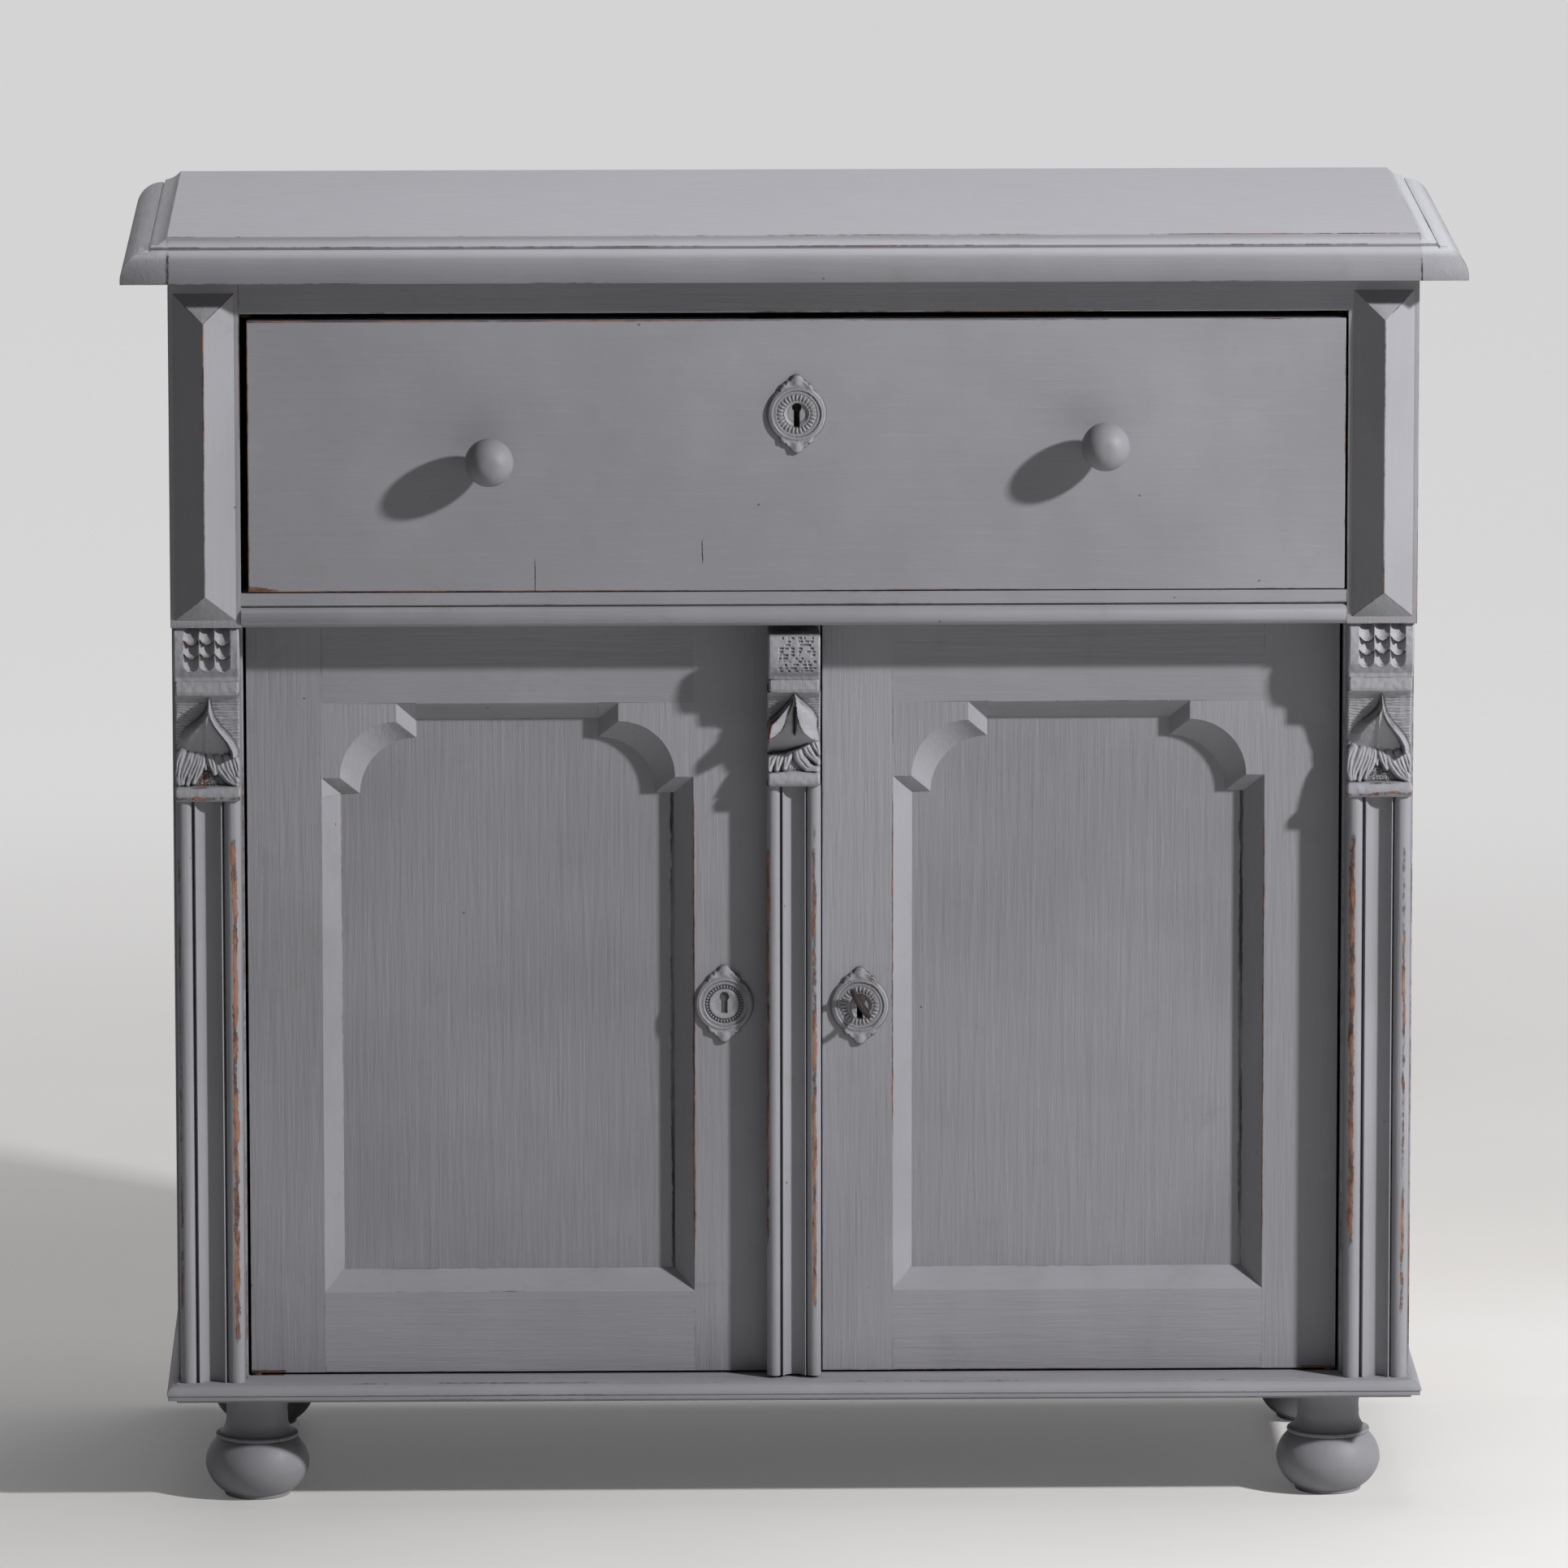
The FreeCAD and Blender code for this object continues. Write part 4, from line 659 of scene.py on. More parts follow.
def dress(node: str, material: Material) -> None:
    """Give a CAD node that stays in view its finish.

    Args:
        node: Name of the node.
        material: Its finish.
    """
    piece = frame["nodes"][node]
    if not piece.material_slots:
        piece.data.materials.append(material)
    for place in piece.material_slots:
        place.link = "OBJECT"
        place.material = material


def store(mesh: Mesh, name: str, values: Sequence[float]) -> None:
    """Keep a value for each point of a mesh under a name."""
    mesh.attributes.new(name, "FLOAT", "POINT").data.foreach_set("value", list(values))


def shade(mesh: Mesh, degrees: float) -> None:
    """Shade a mesh smooth, apart from edges sharper than an angle."""
    mesh.polygons.foreach_set("use_smooth", [True] * len(mesh.polygons))
    mesh.set_sharp_from_angle(angle=math.radians(degrees))


def bridge(one: Sequence, two: Sequence) -> list[tuple]:
    """Return the faces between two closed rings of points, or between a ring and one point.

    Args:
        one: Points of the first ring, or a single one.
        two: Points of the second ring, or a single one.

    Returns:
        The faces, each as a tuple of the points given.
    """
    faces = []
    count = max(len(one), len(two))
    for here in range(count):
        after = (here + 1) % count
        if len(one) == 1:
            faces.append((one[0], two[after], two[here]))
        elif len(two) == 1:
            faces.append((one[here], one[after], two[0]))
        else:
            faces.append((one[here], one[after], two[after], two[here]))
    return faces


def closed_mesh(name: str, points: Sequence, faces: Sequence[tuple], stored: dict[str, list[float]],
                sharp: float = 38.0, weld: float = 0.0) -> Mesh:
    """Make a mesh that faces outwards.

    Args:
        name: Name of the mesh.
        points: Its points.
        faces: Its faces, as numbers of points.
        stored: Values of each point by name, for the paint's wear and its painted shade and grime in
            hollows.
        sharp: Angle in degrees above which an edge stays sharp.
        weld: Distance under which points are joined, or 0 for none.

    Returns:
        The mesh, shaded smooth.
    """
    mesh = bpy.data.meshes.new(name)
    mesh.from_pydata(points, [], faces)
    for key, values in stored.items():
        store(mesh, key, values)
    work = bmesh.new()
    work.from_mesh(mesh)
    if weld:
        bmesh.ops.remove_doubles(work, verts=work.verts, dist=weld)
    bmesh.ops.recalc_face_normals(work, faces=work.faces)
    work.to_mesh(mesh)
    work.free()
    shade(mesh, sharp)
    return mesh


def smooth_small_turns(work: BMesh, limit: float = math.radians(28), flat_area: float = 0.004) -> None:
    """Shade rounded runs smooth and leave flat faces and corners crisp.

    Args:
        work: Mesh to shade.
        limit: Largest angle between faces that still reads as round.
        flat_area: Area from which the faces of one plane stay flat, in square metres.
    """
    normal_steps, distance_steps = 500, 4000
    planes: dict[tuple[int, ...], list[bmesh.types.BMFace]] = {}
    for face in work.faces:
        away = round(face.normal.dot(face.verts[0].co) * distance_steps)
        key = (*(round(part * normal_steps) for part in face.normal), away)
        planes.setdefault(key, []).append(face)
    for faces in planes.values():
        small = sum(face.calc_area() for face in faces) < flat_area
        for face in faces:
            face.smooth = small
    for edge in work.edges:
        if len(edge.link_faces) == 2:
            edge.smooth = edge.calc_face_angle(0.0) < limit


@dataclass
class SoftenedBoard:
    """A painted board: its CAD solid with every outer corner rounded over by paint and use.

    Attributes:
        node: CAD node that it stands for.
        body: CAD body that it rides on.
        radius: Width of the rounding.
        crease: Least angle of a corner that is rounded, in degrees.
    """

    node: str
    body: str
    radius: float = 0.0011
    crease: float = 32.0

    weld = 2e-6
    flat_angle = math.radians(0.5)
    contact = 0.0008
    least_cut = 0.003
    cut_slack = 2e-5
    probe_in = 0.0015
    probe_out = 0.00005

    def build(self, material: Material) -> None:
        """Build the board and mount it.

        Args:
            material: Its finish.
        """
        work = bmesh.new()
        work.from_mesh(frame["nodes"][self.node].data)
        bmesh.ops.remove_doubles(work, verts=work.verts, dist=self.weld)
        bmesh.ops.dissolve_limit(work, angle_limit=self.flat_angle, verts=work.verts, edges=work.edges)
        beside = self.neighbours()
        self.reshape(work)
        self.cut_at_neighbours(work)
        corners = [edge for edge in work.edges if self.is_corner(edge)]
        corners = [edge for edge in corners if not self.covered(edge, beside)]
        layer = work.faces.layers.float.new("wear")
        rounded = bmesh.ops.bevel(
            work, geom=corners, offset=self.radius, offset_type="OFFSET", segments=2, profile=0.55,
            affect="EDGES", clamp_overlap=True,
        )
        for face in rounded["faces"]:
            face[layer] = 1.0
        smooth_small_turns(work)
        name = self.node + "_board"
        mesh = bpy.data.meshes.new(name)
        work.to_mesh(mesh)
        work.free()
        set_piece(name, mesh, material, self.body, Slot.PAINTED_PINE, self.node)

    def reshape(self, work: BMesh) -> None:
        """Change the merged solid before its corners are rounded. A plain board stays as it is."""

    def is_corner(self, edge: bmesh.types.BMEdge) -> bool:
        """Tell whether an edge is an outer corner that is sharp enough to be rounded."""
        outer = len(edge.link_faces) == 2 and edge.is_convex
        return outer and edge.calc_face_angle(0.0) > math.radians(self.crease)

    def touching(self) -> list[str]:
        """Find the nodes that touch this one in the same body.

        Returns:
            Their names.
        """
        low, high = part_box(self.node)
        near = []
        for name in frame["record"]["behaviour"]["bodies"][self.body]:
            other_low, other_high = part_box(name)
            gaps = [max(other_low[axis] - high[axis], low[axis] - other_high[axis]) for axis in range(3)]
            if name != self.node and max(gaps) < self.contact:
                near.append(name)
        return near

    def neighbours(self) -> list[BVHTree]:
        """Collect the surfaces of the nodes that touch this one.

        Returns:
            One search tree for each node.
        """
        surfaces = []
        for name in self.touching():
            data = frame["nodes"][name].data
            corners = [vertex.co.copy() for vertex in data.vertices]
            faces = [tuple(face.vertices) for face in data.polygons]
            surfaces.append(BVHTree.FromPolygons(corners, faces))
        return surfaces

    def cut_at_neighbours(self, work: BMesh) -> None:
        """Divide the long edges where a neighbour ends, so each part is covered or free.

        Args:
            work: Mesh of the board.
        """
        low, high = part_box(self.node)
        cuts = set()
        for name in self.touching():
            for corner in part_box(name):
                for axis in range(3):
                    if low[axis] + self.least_cut < corner[axis] < high[axis] - self.least_cut:
                        cuts.add((axis, round(corner[axis], 5)))
        for axis, place in sorted(cuts):
            point, normal = Vector((0.0, 0.0, 0.0)), Vector((0.0, 0.0, 0.0))
            point[axis], normal[axis] = place, 1.0
            bmesh.ops.bisect_plane(
                work, geom=[*work.verts, *work.edges, *work.faces], dist=self.cut_slack,
                plane_co=point, plane_no=normal,
            )

    def covered(self, edge: bmesh.types.BMEdge, beside: list[BVHTree]) -> bool:
        """Tell whether a neighbour lies against one of an edge's two faces.

        Args:
            edge: Edge of the board.
            beside: Surfaces of the neighbours.

        Returns:
            True where one of them hides a face of the edge.
        """
        middle = (edge.verts[0].co + edge.verts[1].co) / 2
        first, second = (face.normal for face in edge.link_faces)
        for out, back in ((first, second), (second, first)):
            probe = middle - back * self.probe_in + out * self.probe_out
            for surface in beside:
                found = surface.find_nearest(probe, self.contact)
                if found[0] is not None and abs(found[1].dot(out)) > 0.9:
                    return True
        return False


@dataclass
class FlutedShaft(SoftenedBoard):
    """Shaft of a pilaster, its two ridges beside the flute high enough to catch the light.

    Attributes:
        ridges: Places of the two ridges, on X.
        rise: How far they are lifted.
        spread: How fast the lift fades into the flute.
    """

    ridges: Pair = (0.0, 0.0)
    rise: float = 0.0029
    spread: float = 0.0025
    slack = 0.0002

    def reshape(self, work: BMesh) -> None:
        """Lift the ridges, and the flute's sides with them.

        Args:
            work: Mesh of the shaft.
        """
        left, right = self.ridges
        for vertex in work.verts:
            place = vertex.co.x
            if left - self.slack < place < right + self.slack:
                gap = min(abs(place - left), abs(place - right))
                vertex.co.y -= self.rise * math.exp(-gap / self.spread)


def arc_run(start: Pair, end: Pair, radius: float, bulging: bool, steps: int = 9) -> list[Pair]:
    """Draw an arc of an outline.

    Args:
        start: Radius and run of the start.
        end: Radius and run of the end.
        radius: Radius of the arc.
        bulging: True where it bulges away from the axis.
        steps: Number of points.

    Returns:
        Points along the arc, without its start.
    """
    first, last = Vector(start), Vector(end)
    chord = last - first
    out = Vector((abs(chord.y), -chord.x * (1 if chord.y > 0 else -1))).normalized()
    rise = math.sqrt(max(radius * radius - chord.length_squared / 4, 0.0))
    centre = (first + last) / 2 + out * (-rise if bulging else rise)
    turn = (first - centre).angle_signed(last - centre)
    run = []
    for step in range(1, steps + 1):
        spoke = (first - centre).copy()
        spoke.rotate(Matrix.Rotation(-turn * step / steps, 2))
        run.append(tuple(centre + spoke))
    return run


@dataclass
class Turning:
    """Piece turned on a lathe, with the small unevenness of hand work.

    Attributes:
        node: CAD node that it stands for.
        middle: Where its axis starts, in metres.
    """

    node: str
    middle: Triple

    body = "casing"
    axis = Vector((0, 0, 1))
    segments = 96
    tremble = 0.3
    wave = 38
    thin = 12

    def outline(self) -> list[Pair]:
        """Return radius and run of each point in millimetres, from the axis back to the axis."""
        raise NotImplementedError

    def build(self, material: Material) -> None:
        """Turn the piece and mount it.

        Args:
            material: Its finish.
        """
        origin, outline = Vector(self.middle), self.outline()
        side = self.axis.orthogonal().normalized()
        other = self.axis.cross(side).normalized()
        points, wear, rings = [], [], []
        last = len(outline) - 1
        for index, (radius, run) in enumerate(outline):
            around = (outline[max(0, index - 2)][0] + outline[min(last, index + 2)][0]) / 2
            exposed = clamped((radius - around) / 2.2) if radius > self.thin else 0.0
            ring = []
            for step in range(self.segments if radius > TINY else 1):
                angle = math.tau * step / self.segments
                spoke = side * math.cos(angle) + other * math.sin(angle)
                place = origin + spoke * radius * MM + self.axis * run * MM
                shake = noise.noise(place * self.wave) * self.tremble if radius > TINY else 0.0
                ring.append(len(points))
                points.append(origin + (self.axis * run + spoke * (radius + shake)) * MM)
                wear.append(exposed)
            rings.append(ring)
        faces = [face for low, high in zip(rings, rings[1:]) for face in bridge(low, high)]
        name = self.node + "_turned"
        mesh = closed_mesh(name, points, faces, {"wear": wear})
        set_piece(name, mesh, material, self.body, Slot.PAINTED_PINE, self.node)


@dataclass(frozen=True)
class Leaf:
    """One drooping leaf of a capital, in millimetres.

    Attributes:
        path: Its middle line as places across and up.
        half: Half of its width.
        lift: How far it swells out.
    """

    path: Table
    half: float = 3.1
    lift: float = 3.4

    def height(self, x: float, z: float) -> float:
        """Work out how far the leaf stands out.

        Args:
            x: Place across.
            z: Level.

        Returns:
            Its height there, or 0 beside it.
        """
        best, at = math.inf, 0.0
        runs = len(self.path) - 1
        for index in range(runs):
            (ax, az), (bx, bz) = self.path[index], self.path[index + 1]
            dx, dz = bx - ax, bz - az
            share = clamped(((x - ax) * dx + (z - az) * dz) / (dx * dx + dz * dz))
            distance = math.hypot(x - ax - dx * share, z - az - dz * share)
            if distance < best:
                best, at = distance, (index + share) / runs
        half = self.half * (0.8 + 0.5 * math.sin(math.pi * min(1.0, at + 0.15)))
        if best >= half:
            return 0.0
        swell = math.sqrt(1 - (best / half) ** 2)
        groove = 0.9 * math.exp(-((best / 0.7) ** 2)) * math.sin(math.pi * at)
        return self.lift * swell * (0.75 + 0.45 * at) - groove


@dataclass
class Capital:
    """Carved capital of a pilaster: block, fillet, pointed hood, leaves and a rolled collar.

    Levels are in millimetres above the floor and reaches in millimetres in front of the face.

    Attributes:
        node: CAD node that it stands for.
        body: CAD body that it rides on.
        middle: X of its middle in metres.
        face: Y of the face that it lies on, in metres.
        block_half: Half width of the block; block_top, block_bottom and block_profile are its levels
            and its reach by level.
        fillet_bottom: Lower level of the fillet under the block, with its reach and how much narrower
            than the block it is on each side.
        ground_half: Half width behind the hood and the leaves, with the reach there by level.
        collar_top: Upper level of the collar, with its lower level and its reach.
        rim: Width of the hood's raised rim at its tip, and rim_growth how fast it widens.
        lobed: True for a hood with two rolled lobes.
        face_fall: Reach of the hood's face by level.
        hood_left: Half width of the hood by level, left of its tip, and hood_right right of it.
        hood_tip: How far the tip leans to the right.
        hood_crest: Reach of the rim by distance from the tip.
        hood_hem: Level of the hood's lower edge by place across.
        lobe_left: Inner edge of the left lobe by level, and lobe_right of the right one.
        leaf_reach: Reach of the ground between the leaves by level.
        leaves: The leaves.
        scales: True for a block with gouged scales, and false for one with fine nicks.
        seed: Shifts the knife marks.
    """

    node: str
    body: str
    middle: float
    face: float
    block_half: float = 26.5
    block_top: float = 733.0
    block_bottom: float = 687.0
    block_profile: Table = (
        (687, 22.6), (691, 23.4), (695, 26.4), (699, 29.6), (703.5, 31.2), (708, 32.4), (716, 33.4),
        (724, 33.2), (729, 31.8), (733, 29.2),
    )
    fillet_bottom: float = 676.0
    fillet_reach: float = 23.0
    fillet_set_back: float = 0.8
    ground_half: float = 26.0
    ground_profile: Table = (
        (600, 5), (640, 7), (652, 9.6), (659, 10.8), (665, 12.6), (669.5, 14.8), (673, 17.6),
        (676, 21.5),
    )
    collar_top: float = 600.0
    collar_bottom: float = 588.0
    collar_reach: float = 22.0
    rim: float = 1.6
    rim_growth: float = 0.09
    lobed: bool = False
    face_fall: Table = (
        (622, 8), (628, 9.5), (636, 13.5), (645, 18.5), (653, 22.5), (660, 25.2), (667, 26.5),
        (675, 26.5),
    )
    hood_left: Table = (
        (623, 25.4), (630, 25.2), (639, 23.6), (648, 17.8), (654, 9.8), (660, 3.9), (666, 1.4),
        (675, 0),
    )
    hood_right: Table = (
        (623, 25), (630, 24.2), (637, 20.8), (643, 15.9), (650, 9.4), (657, 4.5), (666, 1.8),
        (675, 0),
    )
    hood_tip: float = 1.2
    hood_crest: Table = ((0, 26), (6, 25.5), (14, 24), (18, 22), (26, 15.5))
    hood_hem: Table = ((-26, 629.5), (-12, 628), (-2, 626.5), (8, 623), (15, 622), (26, 624.5))
    lobe_left: Table = (
        (636.5, -22), (638.8, -15.7), (643.9, -10.5), (650.7, -7.5), (657.6, -5), (668, -1.6),
        (676.3, 0),
    )
    lobe_right: Table = (
        (635.5, 22), (638.8, 13.8), (642, 9.8), (645.6, 6.6), (650.7, 4), (657.6, 2.3), (668, 1),
        (676.3, 0),
    )
    leaf_reach: Table = ((600, 15), (608, 14), (616, 12.4), (628, 9.5))
    leaves: tuple[Leaf, ...] = (
        Leaf(((-20, 628), (-24, 618), (-25, 609), (-23, 602)), 3.7),
        Leaf(((-12.5, 628), (-16, 618), (-20, 609), (-20.8, 602.5)), 3.6),
        Leaf(((-7.6, 628), (-10, 618), (-14, 609), (-16.6, 601.5)), 3.2),
        Leaf(((-3.9, 627), (-5.2, 618), (-8.2, 610), (-11.5, 603)), 2.9),
        Leaf(((0.8, 626), (3.3, 618), (5.6, 610.5)), 3),
        Leaf(((7.5, 623), (10.4, 614.5), (16.7, 606), (23.5, 600.5)), 3.9),
        Leaf(((15, 623), (18, 613.5), (23.6, 604)), 3.5),
        Leaf(((20.8, 624), (23.4, 616), (24.6, 609)), 2.9),
        Leaf(((-1.7, 624), (-1.9, 613.5)), 1.8, 2.2),
    )
    scales: bool = True
    seed: float = 0.0

    columns = 101
    row_height = 0.55
    block_round = 0.9
    collar_round = 1.4
    collar_half = 6.4
    collar_fall = 5.5
    edge_round = 1.3
    edge_fall = 1.1
    scale_pitch = 12.7
    scale_run = 11.3
    scale_depth = 7.0
    scale_shift = 0.6
    scale_inset = 1.5
    scale_curve = 5.0
    nick_pitch = 2.7
    nick_depth = 1.5
    nick_half = 16.0
    nick_shift = 2.5

    def build(self, material: Material) -> None:
        """Carve a block whose front is a field of heights, and mount it.

        Args:
            material: Its finish.
        """
        rows, step = self.levels(), 3
        across = [2 * index / (self.columns - 1) - 1 for index in range(self.columns)]
        heights = [[self.reach(self.half_width(z) * u, z) for u in across] for z in rows]
        points, wear, hollow_shade, faces = [], [], [], []
        last_row, last_column = len(rows) - 1, self.columns - 1
        for i, z in enumerate(rows):
            half = self.half_width(z)
            for j, u in enumerate(across):
                height = heights[i][j]
                around = (
                    heights[max(0, i - step)][j] + heights[min(last_row, i + step)][j]
                    + heights[i][max(0, j - step)] + heights[i][min(last_column, j + step)]
                ) / 4
                points.append((self.middle + half * u * MM, self.face - height * MM, z * MM))
                wear.append(clamped((height - around) / 1.3))
                # Painted shade: points below their neighbours are marked for darker paint, with some
                # grime.
                hollow_shade.append(clamped(around - height - 0.1))
                if i < last_row and j < last_column:
                    a = i * self.columns + j
                    faces.append((a, a + 1, a + self.columns + 1, a + self.columns))
        rim = list(range(self.columns))
        rim += [i * self.columns + last_column for i in range(1, last_row + 1)]
        rim += [last_row * self.columns + j for j in range(last_column - 1, -1, -1)]
        rim += [i * self.columns for i in range(last_row - 1, 0, -1)]
        back = list(range(len(points), len(points) + len(rim)))
        points += [(points[index][0], self.face, points[index][2]) for index in rim]
        wear += [0.0] * len(rim)
        hollow_shade += [0.0] * len(rim)
        faces += [*bridge(back, rim), tuple(reversed(back))]
        name = self.node + "_carving"
        mesh = closed_mesh(name, points, faces, {"wear": wear, "hollow": hollow_shade})
        set_piece(name, mesh, material, self.body, Slot.PAINTED_PINE, self.node)

    def levels(self) -> list[float]:
        """Lay out the levels of the carving, with two close ones at each step.

        Returns:
            The levels from low to high.
        """
        clear, close = 0.3, 0.06
        steps = (self.collar_top, self.fillet_bottom, self.block_bottom)
        levels = {self.collar_bottom, self.block_top}
        height = self.block_top - self.collar_bottom
        count = int(height / self.row_height)
        for index in range(count):
            level = self.collar_bottom + height * index / count
            if all(abs(level - step) > clear for step in steps):
                levels.add(level)
        for step in steps:
            levels.update((step - close, step + close))
        return sorted(levels)

    def half_width(self, z: float) -> float:
        """Work out half of the width at a level, rounded at the ends of each part.

        Args:
            z: Level above the floor.

        Returns:
            Half of the width there.
        """
        if z < self.collar_top:
            near = min(z - self.collar_bottom, self.collar_top - z)
            return self.block_half - self.collar_round * (1 - eased(near / 3.0))
        if z <= self.fillet_bottom:
            return self.ground_half
        low, high, half = self.block_bottom, self.block_top, self.block_half
        if z < self.block_bottom:
            low, high, half = self.fillet_bottom, self.block_bottom, half - self.fillet_set_back
        return half - self.block_round * (1 - eased(min(z - low, high - z) / 1.2))

    def ripple(self, x: float, z: float, pace: float, shift: float) -> float:
        """Return a soft unevenness between -1 and 1 at a place."""
        return noise.noise(Vector((x * pace, z * pace, shift)))

    def reach(self, x: float, z: float) -> float:
        """Work out how far the carving stands out.

        Args:
            x: Place across.
            z: Level.

        Returns:
            Its reach there.
        """
        side = 1 - eased((self.half_width(z) - abs(x)) / self.edge_round)
        if z > self.block_bottom:
            height = self.block(x, z)
        elif z > self.fillet_bottom:
            height = self.fillet_reach - self.block_round * (1 - eased((z - self.fillet_bottom) / 3.0))
        elif z > self.collar_top:
            height = self.carved(x, z)
        else:
            swell = 1 - ((z - (self.collar_top + self.collar_bottom) / 2) / self.collar_half) ** 2
            height = self.collar_reach - self.collar_fall * (1 - math.sqrt(max(0.0, swell)))
        knife = self.ripple(x, z, 0.21, self.seed) * 0.35
        chip = self.ripple(x, z, 0.9, self.seed + 7) * 0.12
        return max(0.5, height - side * self.edge_fall + knife + chip)

    def block(self, x: float, z: float) -> float:
        """Work out the reach of the block, with its scales or its fine nicks.

        Args:
            x: Place across.
            z: Level.

        Returns:
            Its reach there.
        """
        height = between(self.block_profile, z)
        if self.scales:
            return height - self.hollow(x, z)
        inside = eased((self.nick_half - abs(x - self.nick_shift)) / 2)
        inside *= eased((z - self.block_bottom - 5) / 3)
        row = math.floor(z / self.nick_pitch)
        cut = noise.noise(Vector((x * 0.33, row * 7.3, self.seed)))
        swing = math.sin(math.pi * (z / self.nick_pitch - row)) ** 2
        return height - inside * self.nick_depth * eased((cut + 0.06) / 0.2) * swing

    def hollow(self, x: float, z: float) -> float:
        """Gouge the scales, three across and three down.

        Args:
            x: Place across.
            z: Level.

        Returns:
            Depth of the gouging there.
        """
        x = x - self.scale_shift
        if abs(x) > 1.5 * self.scale_pitch:
            return 0.0
        column = round(x / self.scale_pitch)
        off = (x - column * self.scale_pitch) / (self.scale_pitch / 2)
        curve = self.scale_curve * off * off + 0.9 * column * (1 if column < 0 else -1.1)
        for row in range(3):
            lip = self.block_top - self.scale_inset - self.scale_run * (row + 1) + curve - 1.2
            if z >= lip:
                above = self.block_top - 1.0 if row == 0 else lip + self.scale_run
                share = clamped((z - lip) / max(above - lip, 0.1))
                depth = self.scale_depth * share ** 0.75 * (1 - abs(off) ** 2.6)
                return depth if share > 0.1 else depth - 0.6 * (1 - abs(off))
        return 0.0

    def carved(self, x: float, z: float) -> float:
        """Work out the reach of the ground, the hood and the leaves.

        Args:
            x: Place across.
            z: Level.

        Returns:
            The highest of them there.
        """
        marks = 0.25 * math.sin(z * 2.6 + noise.noise(Vector((x * 0.1, z * 0.3, 2.0))) * 4)
        height = between(self.ground_profile, z) + marks
        hem = between(self.hood_hem, x)
        if z < hem + 4:
            base = between(self.leaf_reach, z)
            stipple = self.ripple(x, z, 1.3, 9.0) if abs(x) < 9 and z < 612 else 0.0
            height = max(height - 3.0, base - 4.4 + stipple * 1.3)
            tallest = max(leaf.height(x, z) for leaf in self.leaves)
            height = max(height, base + 1.25 * tallest - 3.4 if tallest > 0 else 0.0)
        if z > hem:
            height = max(height, self.hood(x, z))
        return height

    def hood(self, x: float, z: float) -> float:
        """Work out the reach of the hood: a raised rim, and a face that falls back below it.

        Args:
            x: Place across.
            z: Level.

        Returns:
            Its reach there, or 0 beside it.
        """
        place = x - self.hood_tip * eased((z - 640) / 30)
        off = abs(place)
        outline = self.hood_right if place > 0 else self.hood_left
        wide = between(outline, z)
        inside = wide - off
        if inside <= 0 or z > outline[-1][0]:
            return 0.0
        top = outline[0][0]
        for (low, first), (high, last) in zip(outline, outline[1:]):
            if first >= off >= last:
                top = low + (high - low) * (first - off) / max(first - last, TINY)
        drop = max(top - z, 0.0)
        near = inside * drop / max(math.hypot(inside, drop), TINY)
        ground = between(self.ground_profile, z)
        if self.lobed:
            crest = self.lobes(place, z, wide)
            return ground + (crest - ground) * math.sin(min(1.0, near / 1.8) * math.pi / 2) ** 0.6
        crest = between(self.hood_crest, off)
        rim = self.rim + self.rim_growth * off
        belly = between(self.face_fall, z) - 3.0 * (off / max(wide, 1.0)) ** 2
        fold = 1.3 * max(0.0, 1 - abs(place + 1.2) / 2.6) * eased((664 - z) / 12)
        belly = min(crest, belly + fold)
        if place < 0:
            return ground + (belly - ground) * math.sin(min(1.0, near / (2.6 * rim)) * math.pi / 2)
        if near < rim:
            return ground + (crest - ground) * math.sin(near / rim * math.pi / 2) ** 0.75
        return crest + (belly - crest) * eased((near - rim) / (rim * 0.9))

    def lobes(self, place: float, z: float, wide: float) -> float:
        """Work out the reach of two rolled lobes over a face that falls back below them.

        Args:
            place: Place across, from the hood's tip.
            z: Level above the floor.
            wide: Half width of the hood at that level.

        Returns:
            Their reach there.
        """
        left, right = between(self.lobe_left, z), between(self.lobe_right, z)
        if place <= left:
            share = min(1.0, (left - place) / max(left + wide, 0.5))
            return 33.0 + 6.5 * share ** 0.8
        if place >= right:
            share = min(1.0, (place - right) / max(wide - right, 0.5))
            return 40.0 - 7.5 * share ** 1.3
        slit = max(0.0, 1 - abs(place - 0.3) / 1.5) * eased((z - 638) / 6) * eased((667 - z) / 6)
        return between(self.face_fall, z) - 7.0 * slit


